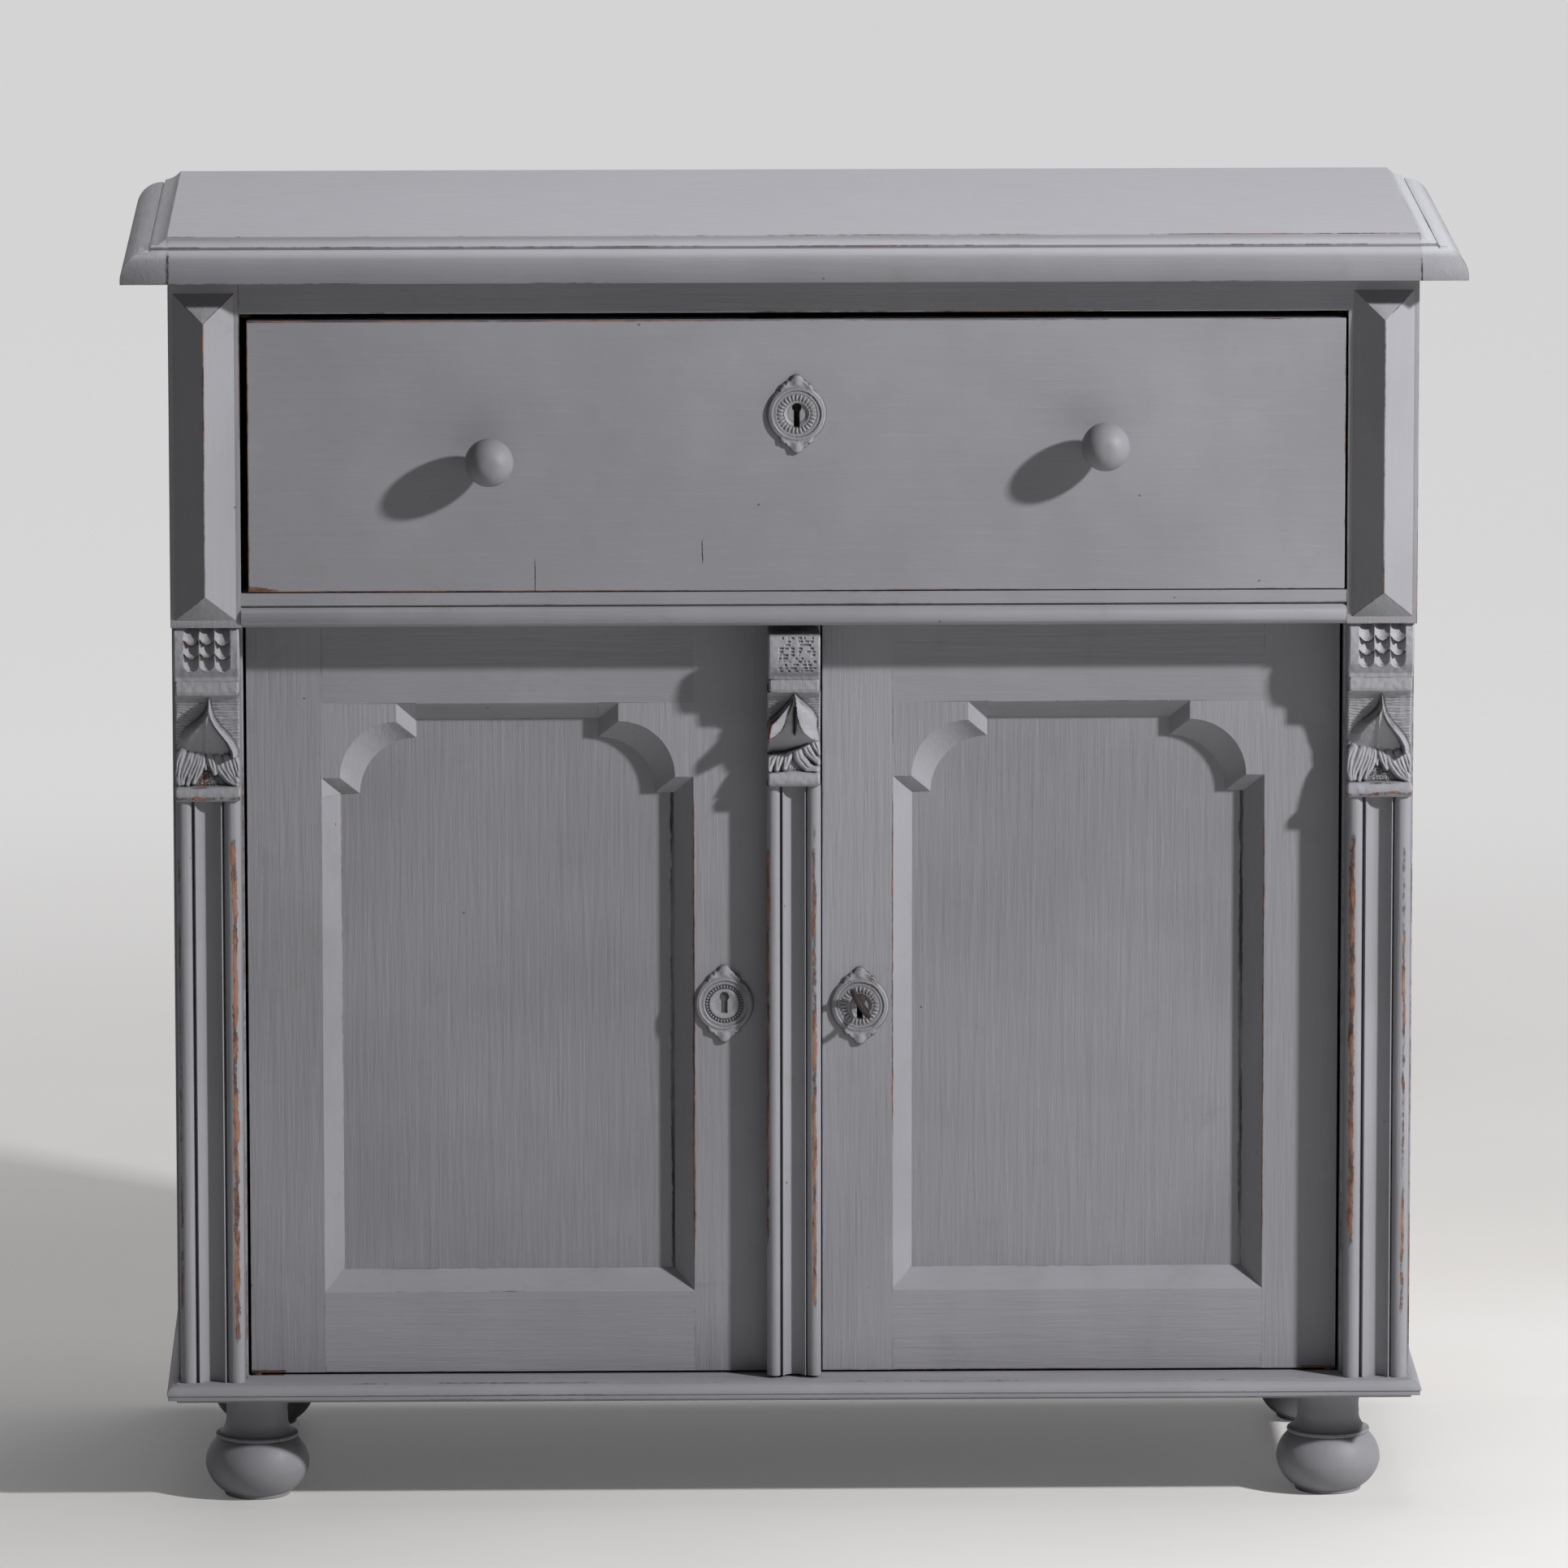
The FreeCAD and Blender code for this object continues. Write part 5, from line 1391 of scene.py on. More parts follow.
@dataclass
class BeadRing:
    """Ring of equal beads on a circle, made with Geometry Nodes.

    Attributes:
        count: Number of beads.
        radius: Radius of the circle in metres.
        size: Length, width and height of a bead in metres.
    """

    count: int
    radius: float
    size: Triple

    group = "bead_ring"
    inputs = {
        "Count": "Int", "Ring Radius": "Float", "Bead Size": "Vector", "Finish": "Material",
    }

    def tree(self) -> bpy.types.NodeTree:
        """Build the node tree once, with its sizes as named inputs.

        Returns:
            The node tree.
        """
        if self.group in bpy.data.node_groups:
            return bpy.data.node_groups[self.group]
        tree = bpy.data.node_groups.new(self.group, "GeometryNodeTree")
        for name, kind in self.inputs.items():
            tree.interface.new_socket(name, in_out="INPUT", socket_type="NodeSocket" + kind)
        tree.interface.new_socket("Geometry", in_out="OUTPUT", socket_type="NodeSocketGeometry")
        bench = NodeBench(tree)
        given = bench.add("NodeGroupInput").outputs
        spokes = {"Vertices": given["Count"], "Radius": given["Ring Radius"]}
        circle = bench.add("GeometryNodeMeshCircle", spokes).outputs[0]
        ball = bench.add("GeometryNodeMeshIcoSphere", {"Radius": 0.5, "Subdivisions": 2}).outputs[0]
        shape = {"Geometry": ball, "Scale": given["Bead Size"]}
        bead = bench.add("GeometryNodeTransform", shape).outputs[0]
        spoke = bench.add("GeometryNodeInputPosition").outputs[0]
        turn = bench.add("FunctionNodeAlignRotationToVector", {"Vector": spoke}, axis="X").outputs[0]
        placing = {"Points": circle, "Instance": bead, "Rotation": turn}
        placed = bench.add("GeometryNodeInstanceOnPoints", placing).outputs[0]
        real = bench.add("GeometryNodeRealizeInstances", {"Geometry": placed}).outputs[0]
        dressing = {"Geometry": real, "Material": given["Finish"]}
        dressed = bench.add("GeometryNodeSetMaterial", dressing).outputs[0]
        bench.add("NodeGroupOutput", {0: dressed})
        return tree

    def make(self, name: str, material: Material, place: Matrix) -> Mesh:
        """Make the ring as one plain mesh.

        Args:
            name: Name of the piece.
            material: Its finish.
            place: Carries the ring from the XY plane to where it goes.

        Returns:
            The mesh, in place.
        """
        holder = bpy.data.objects.new(name + "_maker", bpy.data.meshes.new(name + "_maker"))
        bpy.context.scene.collection.objects.link(holder)
        maker = holder.modifiers.new("ring", "NODES")
        maker.node_group = self.tree()
        values = dict(zip(self.inputs, (self.count, self.radius, self.size, material)))
        for item in maker.node_group.interface.items_tree:
            if item.item_type == "SOCKET" and item.in_out == "INPUT":
                maker[item.identifier] = values[item.name]
        drawn = holder.evaluated_get(bpy.context.evaluated_depsgraph_get())
        mesh = bpy.data.meshes.new_from_object(drawn)
        holder.modifiers.remove(maker)
        bpy.data.objects.remove(holder)
        mesh.transform(place)
        store(mesh, "wear", [0.55] * len(mesh.vertices))
        shade(mesh, 60)
        return mesh


@dataclass
class Escutcheon:
    """Cast keyhole plate: pointed oval with leafy ends, a double rim and a ring of notches.

    Attributes:
        node: CAD node that it stands for.
        body: CAD body that it rides on.
        middle: X of its middle in metres, and level its Z.
        face: Y of the face that it lies on, in metres.
        blind: True where its keyhole is only a hollow.
        round_radius: Radius of the round part, in millimetres like all that follow.
        half_height: Half of its height, with its thickness inside the edge.
        discs: Place across, place up and radius of the rounds that draw its pointed ends.
        keyhole_radius: Radius of the keyhole's round part, and keyhole_rise how far it stands above
            the plate's middle.
        keyhole_drop: Lower end of the keyhole below that middle, with half of its slot's width.
    """

    node: str
    body: str
    middle: float
    level: float
    face: float
    blind: bool = False
    round_radius: float = 24.2
    half_height: float = 32.5
    thick: float = 3.4
    discs: tuple[Triple, ...] = (
        (0.0, 27.0, 5.4), (5.0, 24.2, 4.0), (9.5, 20.5, 4.3),
    )
    keyhole_radius: float = 3.8
    keyhole_rise: float = 5.0
    keyhole_drop: float = 11.0
    slot_half: float = 2.4

    spokes = 216
    rings = 48
    hollow_rings = 8
    least_radius = 0.02
    wall = 0.05
    wear_run = 0.8
    moat = (12.7, 15.6)
    open_beads = BeadRing(28, 0.0134, (0.0056, 0.0022, 0.0024))
    blind_beads = BeadRing(36, 0.01415, (0.0022, 0.0015, 0.0018))
    open_bead_reach = 2.9
    blind_bead_reach = 2.4

    def build(self, material: Material) -> None:
        """Cast the plate, set its ring and mount both.

        Args:
            material: Its finish.
        """
        name = self.node + "_plate"
        set_piece(name, self.plate_mesh(name), material, self.body, Slot.PAINTED_METAL, self.node)
        reach = self.blind_bead_reach if self.blind else self.open_bead_reach
        place = Matrix.Translation((self.middle, self.face - reach * MM, self.level))
        beads = self.blind_beads if self.blind else self.open_beads
        name = self.node + "_ring"
        mesh = beads.make(name, material, place @ Matrix.Rotation(math.pi / 2, 4, "X"))
        set_piece(name, mesh, material, self.body, Slot.PAINTED_METAL)

    def keyhole_edge(self, angle: float) -> float:
        """Work out the keyhole's outline.

        Args:
            angle: Direction from the middle, in radians from +X.

        Returns:
            Distance from the middle to the keyhole's edge.
        """
        across, up = math.cos(angle), math.sin(angle)
        slot = self.slot_half / max(abs(across), TINY)
        if up < 0:
            return min(slot, self.keyhole_drop / max(-up, TINY))
        reach = self.keyhole_rise * up
        span = reach * reach - self.keyhole_rise ** 2 + self.keyhole_radius ** 2
        round_end = reach + math.sqrt(span) if span > 0 else 0.0
        return max(round_end, min(slot, self.keyhole_rise + 1.0))

    def outline(self, angle: float) -> float:
        """Work out the plate's outline.

        Args:
            angle: Direction from the middle, in radians from +X.

        Returns:
            Distance from the middle to the plate's edge.
        """
        across, up = abs(math.cos(angle)), abs(math.sin(angle))
        best = self.round_radius
        for disc_x, disc_z, disc_radius in self.discs:
            near = disc_x * across + disc_z * up
            span = near * near - disc_x * disc_x - disc_z * disc_z + disc_radius * disc_radius
            if span > 0:
                best = max(best, near + math.sqrt(span))
        return min(best, self.half_height)

    def cup(self, radius: float, angle: float) -> float:
        """Work out the hollow round the keyhole.

        Args:
            radius: Distance from the middle.
            angle: Direction from the middle.

        Returns:
            Depth of the hollow there.
        """
        if not self.blind:
            dip = 2.1 * (1 - eased((radius - 7.0) / 3.6))
            return dip + 0.5 * eased(radius - 10) * (1 - eased((radius - 16.4) / 0.8))
        if radius < self.keyhole_edge(angle):
            return 2.3
        ditch = 1.1 * eased((radius - 11.9) / 0.6) * (1 - eased((radius - 15.6) / 1.2))
        return ditch + 0.8 * (1 - eased((radius - 6.0) / 5.5))

    def thickness(self, radius: float, angle: float) -> float:
        """Work out how far the plate stands out.

        Args:
            radius: Distance from the middle.
            angle: Direction from the middle.

        Returns:
            Its thickness there.
        """
        across, up = math.cos(angle), math.sin(angle)
        body = self.thick * (0.42 + 0.58 * eased((self.outline(angle) - radius) / 2.4))
        step = 0.5 * eased((radius - 19.0) / 0.7) * (1 - eased((radius - 20.4) / 0.9))
        tilt = math.atan2(abs(across), abs(up))
        leafy = eased((radius - 22) / 3) * eased((0.75 - tilt) / 0.3)
        ribs = leafy * (0.35 + 0.75 * math.cos(tilt * 15.5)) * 0.8
        groove = 0.35 * eased((radius - 16.9) / 0.6) * (1 - eased((radius - 18.6) / 1.2))
        uneven = 0.12 * noise.noise(Vector((radius * across * 0.5, radius * up * 0.5, 1.0)))
        return max(0.35, body + step + ribs - self.cup(radius, angle) - groove + uneven)

    def radii(self, angle: float) -> list[float]:
        """Lay out the points of one spoke.

        Args:
            angle: Direction of the spoke.

        Returns:
            Their distances from the middle, from the keyhole, or the middle of a blind plate, outwards.
        """
        keyhole, outer = self.keyhole_edge(angle), self.outline(angle)
        if not self.blind:
            return [keyhole + (outer - keyhole) * (ring / self.rings) for ring in range(self.rings + 1)]
        count = self.rings - self.hollow_rings
        radii = [self.least_radius]
        radii += [keyhole * ring / self.hollow_rings for ring in range(1, self.hollow_rings)]
        for ring in range(count + 1):
            radii.append(min(keyhole + self.wall + (outer - keyhole) * ring / count, outer))
        return radii

    def plate_mesh(self, name: str) -> Mesh:
        """Build the plate from spokes.

        Args:
            name: Name of the mesh.

        Returns:
            The closed mesh.
        """
        points, wear, hollow_shade, lines = [], [], [], []
        for spoke in range(self.spokes):
            angle = math.tau * spoke / self.spokes
            keyhole, outer = self.keyhole_edge(angle), self.outline(angle)
            radii = self.radii(angle)
            for radius in radii:
                height = self.thickness(radius, angle)
                lower = self.thickness(max(radius - self.wear_run, 0.0), angle)
                upper = self.thickness(min(radius + self.wear_run, outer), angle)
                points.append(self.point(radius, angle, height))
                wear.append(clamped((height - (lower + upper) / 2) / 0.35))
                # Painted shade: the blind keyhole and its ring of notches are marked darkest, and points
                # below their neighbours darker.
                deep = self.blind and (radius <= keyhole or self.moat[0] < radius < self.moat[1])
                hollow_shade.append(1.3 if deep else clamped(((lower + upper) / 2 - height) / 0.3))
            inner = 0.0 if self.blind else keyhole
            points += [self.point(outer, angle, 0.0), self.point(inner, angle, 0.0)]
            wear += [0.0, 0.0]
            # Painted shade where the plate's edge meets the face it lies on.
            hollow_shade += [0.3, 0.3]
            start = len(points) - len(radii) - 2
            lines.append(list(range(start, len(points))))
        faces = [face for one, two in zip(lines, lines[1:] + lines[:1]) for face in bridge(one, two)]
        return closed_mesh(name, points, faces, {"wear": wear, "hollow": hollow_shade}, sharp=42, weld=2e-5)

    def point(self, radius: float, angle: float, height: float) -> Triple:
        """Return a point of the plate, in metres."""
        across, up = radius * math.cos(angle) * MM, radius * math.sin(angle) * MM
        return (self.middle + across, self.face - height * MM, self.level + up)


@dataclass
class Knob(Turning):
    """Ball knob with a neck, a flange and a tenon, in millimetres from the drawer's face.

    Attributes:
        radius: Radius of the ball.
        reach: Middle of the ball.
        neck: Radius of the neck under the ball, and waist where it is thinnest.
        flange: Radius of the flange, with its thickness.
        tenon: Radius of the tenon, with its length.
        flat: How far the ball's end is worn flat.
        steps: Points along the ball.
    """

    radius: float = 19.5
    reach: float = 28.0
    neck: float = 9.0
    waist: float = 8.6
    flange: float = 12.0
    flange_thick: float = 3.0
    tenon: float = 6.0
    tenon_length: float = 18.0
    flat: float = 0.5
    steps: int = 26

    body = "drawer"
    axis = Vector((0, -1, 0))
    segments = 64
    tremble = 0.15

    def outline(self) -> list[Pair]:
        """Draw the outline from the tenon's end to the ball's end.

        Returns:
            Radius and run of each point.
        """
        ball_start = self.reach - math.sqrt(self.radius ** 2 - self.neck ** 2)
        outline = [
            (0.0, -self.tenon_length), (self.tenon, -self.tenon_length), (self.tenon, 0.0),
            (self.flange, 0.0), (self.flange, self.flange_thick - 1.2),
            (self.flange - 0.5, self.flange_thick - 0.3), (self.flange - 1.6, self.flange_thick),
            (self.neck + 0.8, self.flange_thick + 0.4), (self.waist, self.flange_thick + 2.0),
            (self.waist, ball_start - 1.2), (self.neck, ball_start),
        ]
        first = math.asin(self.neck / self.radius)
        for step in range(1, self.steps + 1):
            angle = first + (math.pi - first) * step / self.steps
            radius = self.radius * math.sin(angle) if step < self.steps else 0.0
            worn = self.flat * eased((angle - 2.7) / 0.4)
            outline.append((radius, self.reach - self.radius * math.cos(angle) - worn))
        return outline


@dataclass
class Foot(Turning):
    """Bun foot with a rim, a waisted neck and a tenon: radius and level of each turn in millimetres.

    Attributes:
        heel: Where the bun starts above its flat underside.
        belly: Widest place of the bun.
        shoulder: Where the bun meets the rim.
        rim: Points of the rim.
        neck_start: Where the neck starts.
        waist: Thinnest place of the neck.
        neck_end: Where the neck has widened out.
        top: Level of the top, which holds the cabinet.
        tenon: Radius of the tenon and level of its end.
        arcs: Radii of the arcs between heel, belly and shoulder, and between neck, waist and neck's end.
    """

    heel: Pair = (27.0, 3.0)
    belly: Pair = (42.5, 25.0)
    shoulder: Pair = (32.5, 48.0)
    rim: Table = ((32.1, 48.3), (33.4, 48.7), (34.0, 50.0), (33.6, 51.4), (32.3, 52.0))
    neck_start: Pair = (30.6, 52.3)
    waist: Pair = (25.5, 66.0)
    neck_end: Pair = (29.0, 86.0)
    top: float = 90.0
    tenon: Pair = (11.0, 101.0)
    arcs: tuple[float, float, float, float] = (31.0, 28.0, 15.0, 30.0)

    def outline(self) -> list[Pair]:
        """Draw the outline from the floor to the tenon's end.

        Returns:
            Radius and level of each point.
        """
        lower, upper, hollow, flare = self.arcs
        return [
            (0.0, 0.0), (self.heel[0] - 0.8, 0.0), (self.heel[0], 0.6), self.heel,
            *arc_run(self.heel, self.belly, lower, True, 10),
            *arc_run(self.belly, self.shoulder, upper, True, 10),
            *self.rim, self.neck_start,
            *arc_run(self.neck_start, self.waist, hollow, False),
            *arc_run(self.waist, self.neck_end, flare, False),
            (self.neck_end[0], self.top), (self.tenon[0], self.top), self.tenon, (0.0, self.tenon[1]),
        ]


@dataclass
class Key:
    """Iron key with a ring, a collar, a shank and a bit, turned in its lock.

    Attributes:
        node: CAD node that it stands for.
        middle: Where its axis meets the door's face, in metres.
        turn: How far it is turned from the keyhole.
        ring_reach: Middle of the ring in front of the face, in millimetres like all that follow.
        ring_outer: Outer radius of the ring, with its inner one and half of its thickness.
        shank: Radius of the shank, and collar of the collar at the face.
        bit_half: Half of the bit's thickness, with where it starts and ends below the axis.
        ward_drop: Where the ward's cut in the bit starts.
    """

    node: str = "right_door_key"
    middle: Triple = (0.054, -0.13725, 0.417)
    turn: float = math.radians(-33)
    ring_reach: float = 21.0
    ring_outer: float = 14.0
    ring_inner: float = 9.5
    ring_half: float = 2.0
    shank: float = 3.0
    collar: float = 4.6
    bit_half: float = 1.6
    bit_root: float = 1.5
    bit_drop: float = 10.4
    ward_drop: float = 6.0

    ring_sides = 16
    ring_steps = 72
    shank_sides = 32

    def build(self, material: Material) -> None:
        """Forge the key and mount it.

        Args:
            material: Its finish.
        """
        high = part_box(self.node)[1]
        work = bmesh.new()
        self.add_ring(work)
        self.add_shank(work, (high[1] - self.middle[1]) / MM)
        turned = Matrix.Rotation(self.turn, 4, "Y") @ Matrix.Scale(MM, 4)
        turned = Matrix.Translation(self.middle) @ turned
        bmesh.ops.transform(work, matrix=turned, verts=work.verts)
        bmesh.ops.recalc_face_normals(work, faces=work.faces)
        mesh = bpy.data.meshes.new("key_forged")
        work.to_mesh(mesh)
        work.free()
        shade(mesh, 35)
        set_piece("key_forged", mesh, material, "key", Slot.IRON, self.node)

    def add_rings(self, work: BMesh, rings: list[list[Triple]], closed: bool) -> None:
        """Add a surface through rings of points.

        Args:
            work: Mesh to add to.
            rings: The points of each ring, a single one at an end.
            closed: True where the last ring joins the first.
        """
        made = [[work.verts.new(place) for place in ring] for ring in rings]
        for one, two in zip(made, made[1:] + (made[:1] if closed else [])):
            for face in bridge(one, two):
                work.faces.new(face)

    def add_ring(self, work: BMesh) -> None:
        """Add the ring, flat in the plane of the axis and the bit, worn round at its edges.

        Args:
            work: Mesh to add to.
        """
        section = []
        middle, wide = (self.ring_outer + self.ring_inner) / 2, (self.ring_outer - self.ring_inner) / 2
        for step in range(self.ring_sides):
            angle = math.tau * step / self.ring_sides
            across, high = math.cos(angle), math.sin(angle)
            flat = 1 / (abs(across) ** 4 + abs(high) ** 4) ** 0.25
            section.append((middle + wide * across * flat, self.ring_half * high * flat))
        rings = []
        for step in range(self.ring_steps):
            angle = math.tau * step / self.ring_steps
            out, up = math.cos(angle), math.sin(angle)
            rings.append([
                (height, -self.ring_reach + radius * out, radius * up) for radius, height in section
            ])
        self.add_rings(work, rings, True)

    def add_shank(self, work: BMesh, end: float) -> None:
        """Add the shank with its collars, and the bit with its ward cut.

        Args:
            work: Mesh to add to.
            end: Run of the shank's inner end, in millimetres.
        """
        start = -self.ring_reach + self.ring_inner + 0.6
        outline = [
            (0.0, start), (2.4, start), (3.2, start + 0.8), (3.9, start + 1.5), (4.3, start + 2.4),
            (3.9, start + 3.2), (self.shank, start + 3.8), (self.shank, -5.6), (self.collar - 0.5, -5.0),
            (self.collar, -4.4), (self.collar, -3.5), (self.collar - 0.6, -2.9), (self.shank, -2.7),
            (self.shank, end - 0.8), (self.shank - 0.7, end), (0.0, end),
        ]
        rings = []
        for radius, run in outline:
            count = self.shank_sides if radius else 1
            angles = [math.tau * step / self.shank_sides for step in range(count)]
            rings.append([(radius * math.cos(angle), run, radius * math.sin(angle)) for angle in angles])
        self.add_rings(work, rings, False)
        bit = [
            (end - 9, -self.bit_root), (end - 9, -self.bit_drop), (end - 5.4, -self.bit_drop),
            (end - 5.4, -self.ward_drop), (end - 3.8, -self.ward_drop), (end - 3.8, -self.bit_drop),
            (end - 0.4, -self.bit_drop), (end - 0.4, -self.bit_root),
        ]
        across = (-self.bit_half, self.bit_half)
        sides = [[work.verts.new((side, run, drop)) for run, drop in bit] for side in across]
        work.faces.new(sides[0])
        work.faces.new(list(reversed(sides[1])))
        for face in bridge(*sides):
            work.faces.new(face)


@dataclass(frozen=True)
class Lamp:
    """Square lamp that looks at a point.

    Attributes:
        name: Name of the lamp.
        place: Where it hangs.
        target: Point that it looks at.
        size: Side of the square.
        power: Power in watts.
    """

    name: str
    place: Triple
    target: Triple
    size: float
    power: float

    def hang(self) -> None:
        """Put the lamp into the scene, unseen by the camera."""
        data = bpy.data.lights.new(self.name, "AREA")
        data.shape = "SQUARE"
        data.size = self.size
        data.energy = self.power
        lamp = bpy.data.objects.new(self.name, data)
        lamp.location = self.place
        lamp.rotation_mode = "QUATERNION"
        lamp.rotation_quaternion = (Vector(self.target) - Vector(self.place)).to_track_quat("-Z", "Y")
        lamp.visible_camera = False
        bpy.context.scene.collection.objects.link(lamp)


@dataclass
class Studio:
    """Camera, lamps, world and floor.

    Attributes:
        camera_place: Where the camera stands.
        yaw: Turn of the view from +Y towards +X, pitch below the horizon and roll, in radians.
        focal_pixels: Focal length in pixels of the photograph, which is picture_width wide.
        sensor_width: Width of the camera's sensor, in millimetres.
        clip: Nearest and farthest place that the camera sees.
        lamps: A hard one from the upper right, as in the photograph, and a soft one above.
        fill_tone: Colour of the light that the room throws, and fill its strength.
        room_tone: Colour of the room as seen.
        floor_half: Half of the floor's side, with its darkest and palest colour and its roughness.
        glow_tone: Colour to which the floor fades far away, from and to the distances of glow_run, by
            the shares of glow_shares.
    """

    camera_place: Triple = (-0.19979, -10.53736, 2.41796)
    yaw: float = 0.01848
    pitch: float = 0.17348
    roll: float = 0.00085
    focal_pixels: float = 16021.5
    picture_width: float = 1932.0
    sensor_width: float = 36.0
    clip: Pair = (0.5, 300.0)
    lamps: tuple[Lamp, ...] = (
        Lamp("key_lamp", (3.28, -2.24, 2.66), (0.0, -0.1, 0.5), 0.2, 267.0),
        Lamp("top_lamp", (0.3, 0.3, 3.4), (0.0, 0.0, 1.0), 1.8, 44.0),
    )
    fill_tone: Colour = srgb(248, 249, 252)
    fill: float = 0.036
    room_tone: Colour = srgb(226, 226, 228)
    floor_half: float = 60.0
    floor_tones: tuple[Colour, Colour] = (srgb(214, 211, 208), srgb(222, 220, 218))
    floor_rough: float = 0.6
    glow_tone: Colour = srgb(230, 229, 229)
    glow_run: Pair = (0.6, 3.5)
    glow_shares: Pair = (0.1, 0.8)

    def build(self) -> None:
        """Build the whole studio."""
        self.set_camera()
        self.set_world()
        self.lay_floor()
        for lamp in self.lamps:
            lamp.hang()
        bpy.context.scene.view_settings.view_transform = "Standard"

    def set_camera(self) -> None:
        """Place the camera as the photograph was taken."""
        forward = Vector((
            math.sin(self.yaw) * math.cos(self.pitch),
            math.cos(self.yaw) * math.cos(self.pitch),
            -math.sin(self.pitch),
        ))
        right = Vector((math.cos(self.yaw), -math.sin(self.yaw), 0.0))
        up = right.cross(forward)
        turn = Matrix.Rotation(self.roll, 3, forward)
        axes = Matrix((turn @ right, turn @ up, -(turn @ forward))).transposed()
        data = bpy.data.cameras.new("photo_camera")
        data.sensor_width = self.sensor_width
        data.lens = self.focal_pixels / self.picture_width * data.sensor_width
        data.clip_start, data.clip_end = self.clip
        camera = bpy.data.objects.new("photo_camera", data)
        camera.matrix_world = Matrix.Translation(self.camera_place) @ axes.to_4x4()
        bpy.context.scene.collection.objects.link(camera)
        bpy.context.scene.camera = camera

    def set_world(self) -> None:
        """Make the world a soft fill that the camera and reflections see as pale."""
        world = bpy.data.worlds.new("pale_room")
        world.use_nodes = True
        world.node_tree.nodes.clear()
        bench = NodeBench(world.node_tree)
        rays = bench.add("ShaderNodeLightPath").outputs
        seen = bench.math("MAXIMUM", rays["Is Camera Ray"], rays["Is Glossy Ray"])
        seen = bench.math("MAXIMUM", seen, rays["Is Transmission Ray"])
        fill, pale = (
            bench.add("ShaderNodeBackground", {"Color": tone, "Strength": strength}).outputs[0]
            for tone, strength in ((self.fill_tone, self.fill), (self.room_tone, 1.0))
        )
        mixed = bench.add("ShaderNodeMixShader", {0: seen, 1: fill, 2: pale})
        bench.add("ShaderNodeOutputWorld", {0: mixed.outputs[0]})
        bpy.context.scene.world = world

    def lay_floor(self) -> None:
        """Lay one wide pale floor that keeps the shadow of the cabinet."""
        mesh = bpy.data.meshes.new("floor")
        half = self.floor_half
        corners = [(-half, -half, 0), (half, -half, 0), (half, half, 0), (-half, half, 0)]
        mesh.from_pydata(corners, [], [(0, 1, 2, 3)])
        material, bench, shader = new_material("pale_floor")
        raw = bench.place()
        cloud = bench.ramp(bench.noise(raw, 1.6, 4, 0.5), 0.3, 0.7)
        tone = bench.blend(cloud, *self.floor_tones)
        bench.plug(shader, {"Base Color": tone, "Roughness": self.floor_rough})
        seen = bench.add("ShaderNodeLightPath").outputs["Is Camera Ray"]
        glow = bench.add("ShaderNodeEmission", {"Color": self.glow_tone, "Strength": 1.0})
        away = bench.add("ShaderNodeVectorMath", {0: raw}, operation="LENGTH").outputs["Value"]
        share = bench.times(seen, bench.ramp(away, *self.glow_run, *self.glow_shares))
        mixed = bench.add("ShaderNodeMixShader", {0: share, 1: shader.outputs[0], 2: glow.outputs[0]})
        bench.plug(bench.tree.get_output_node("ALL"), {0: mixed.outputs[0]})
        mesh.materials.append(material)
        floor = bpy.data.objects.new("floor", mesh)
        bpy.context.scene.collection.objects.link(floor)


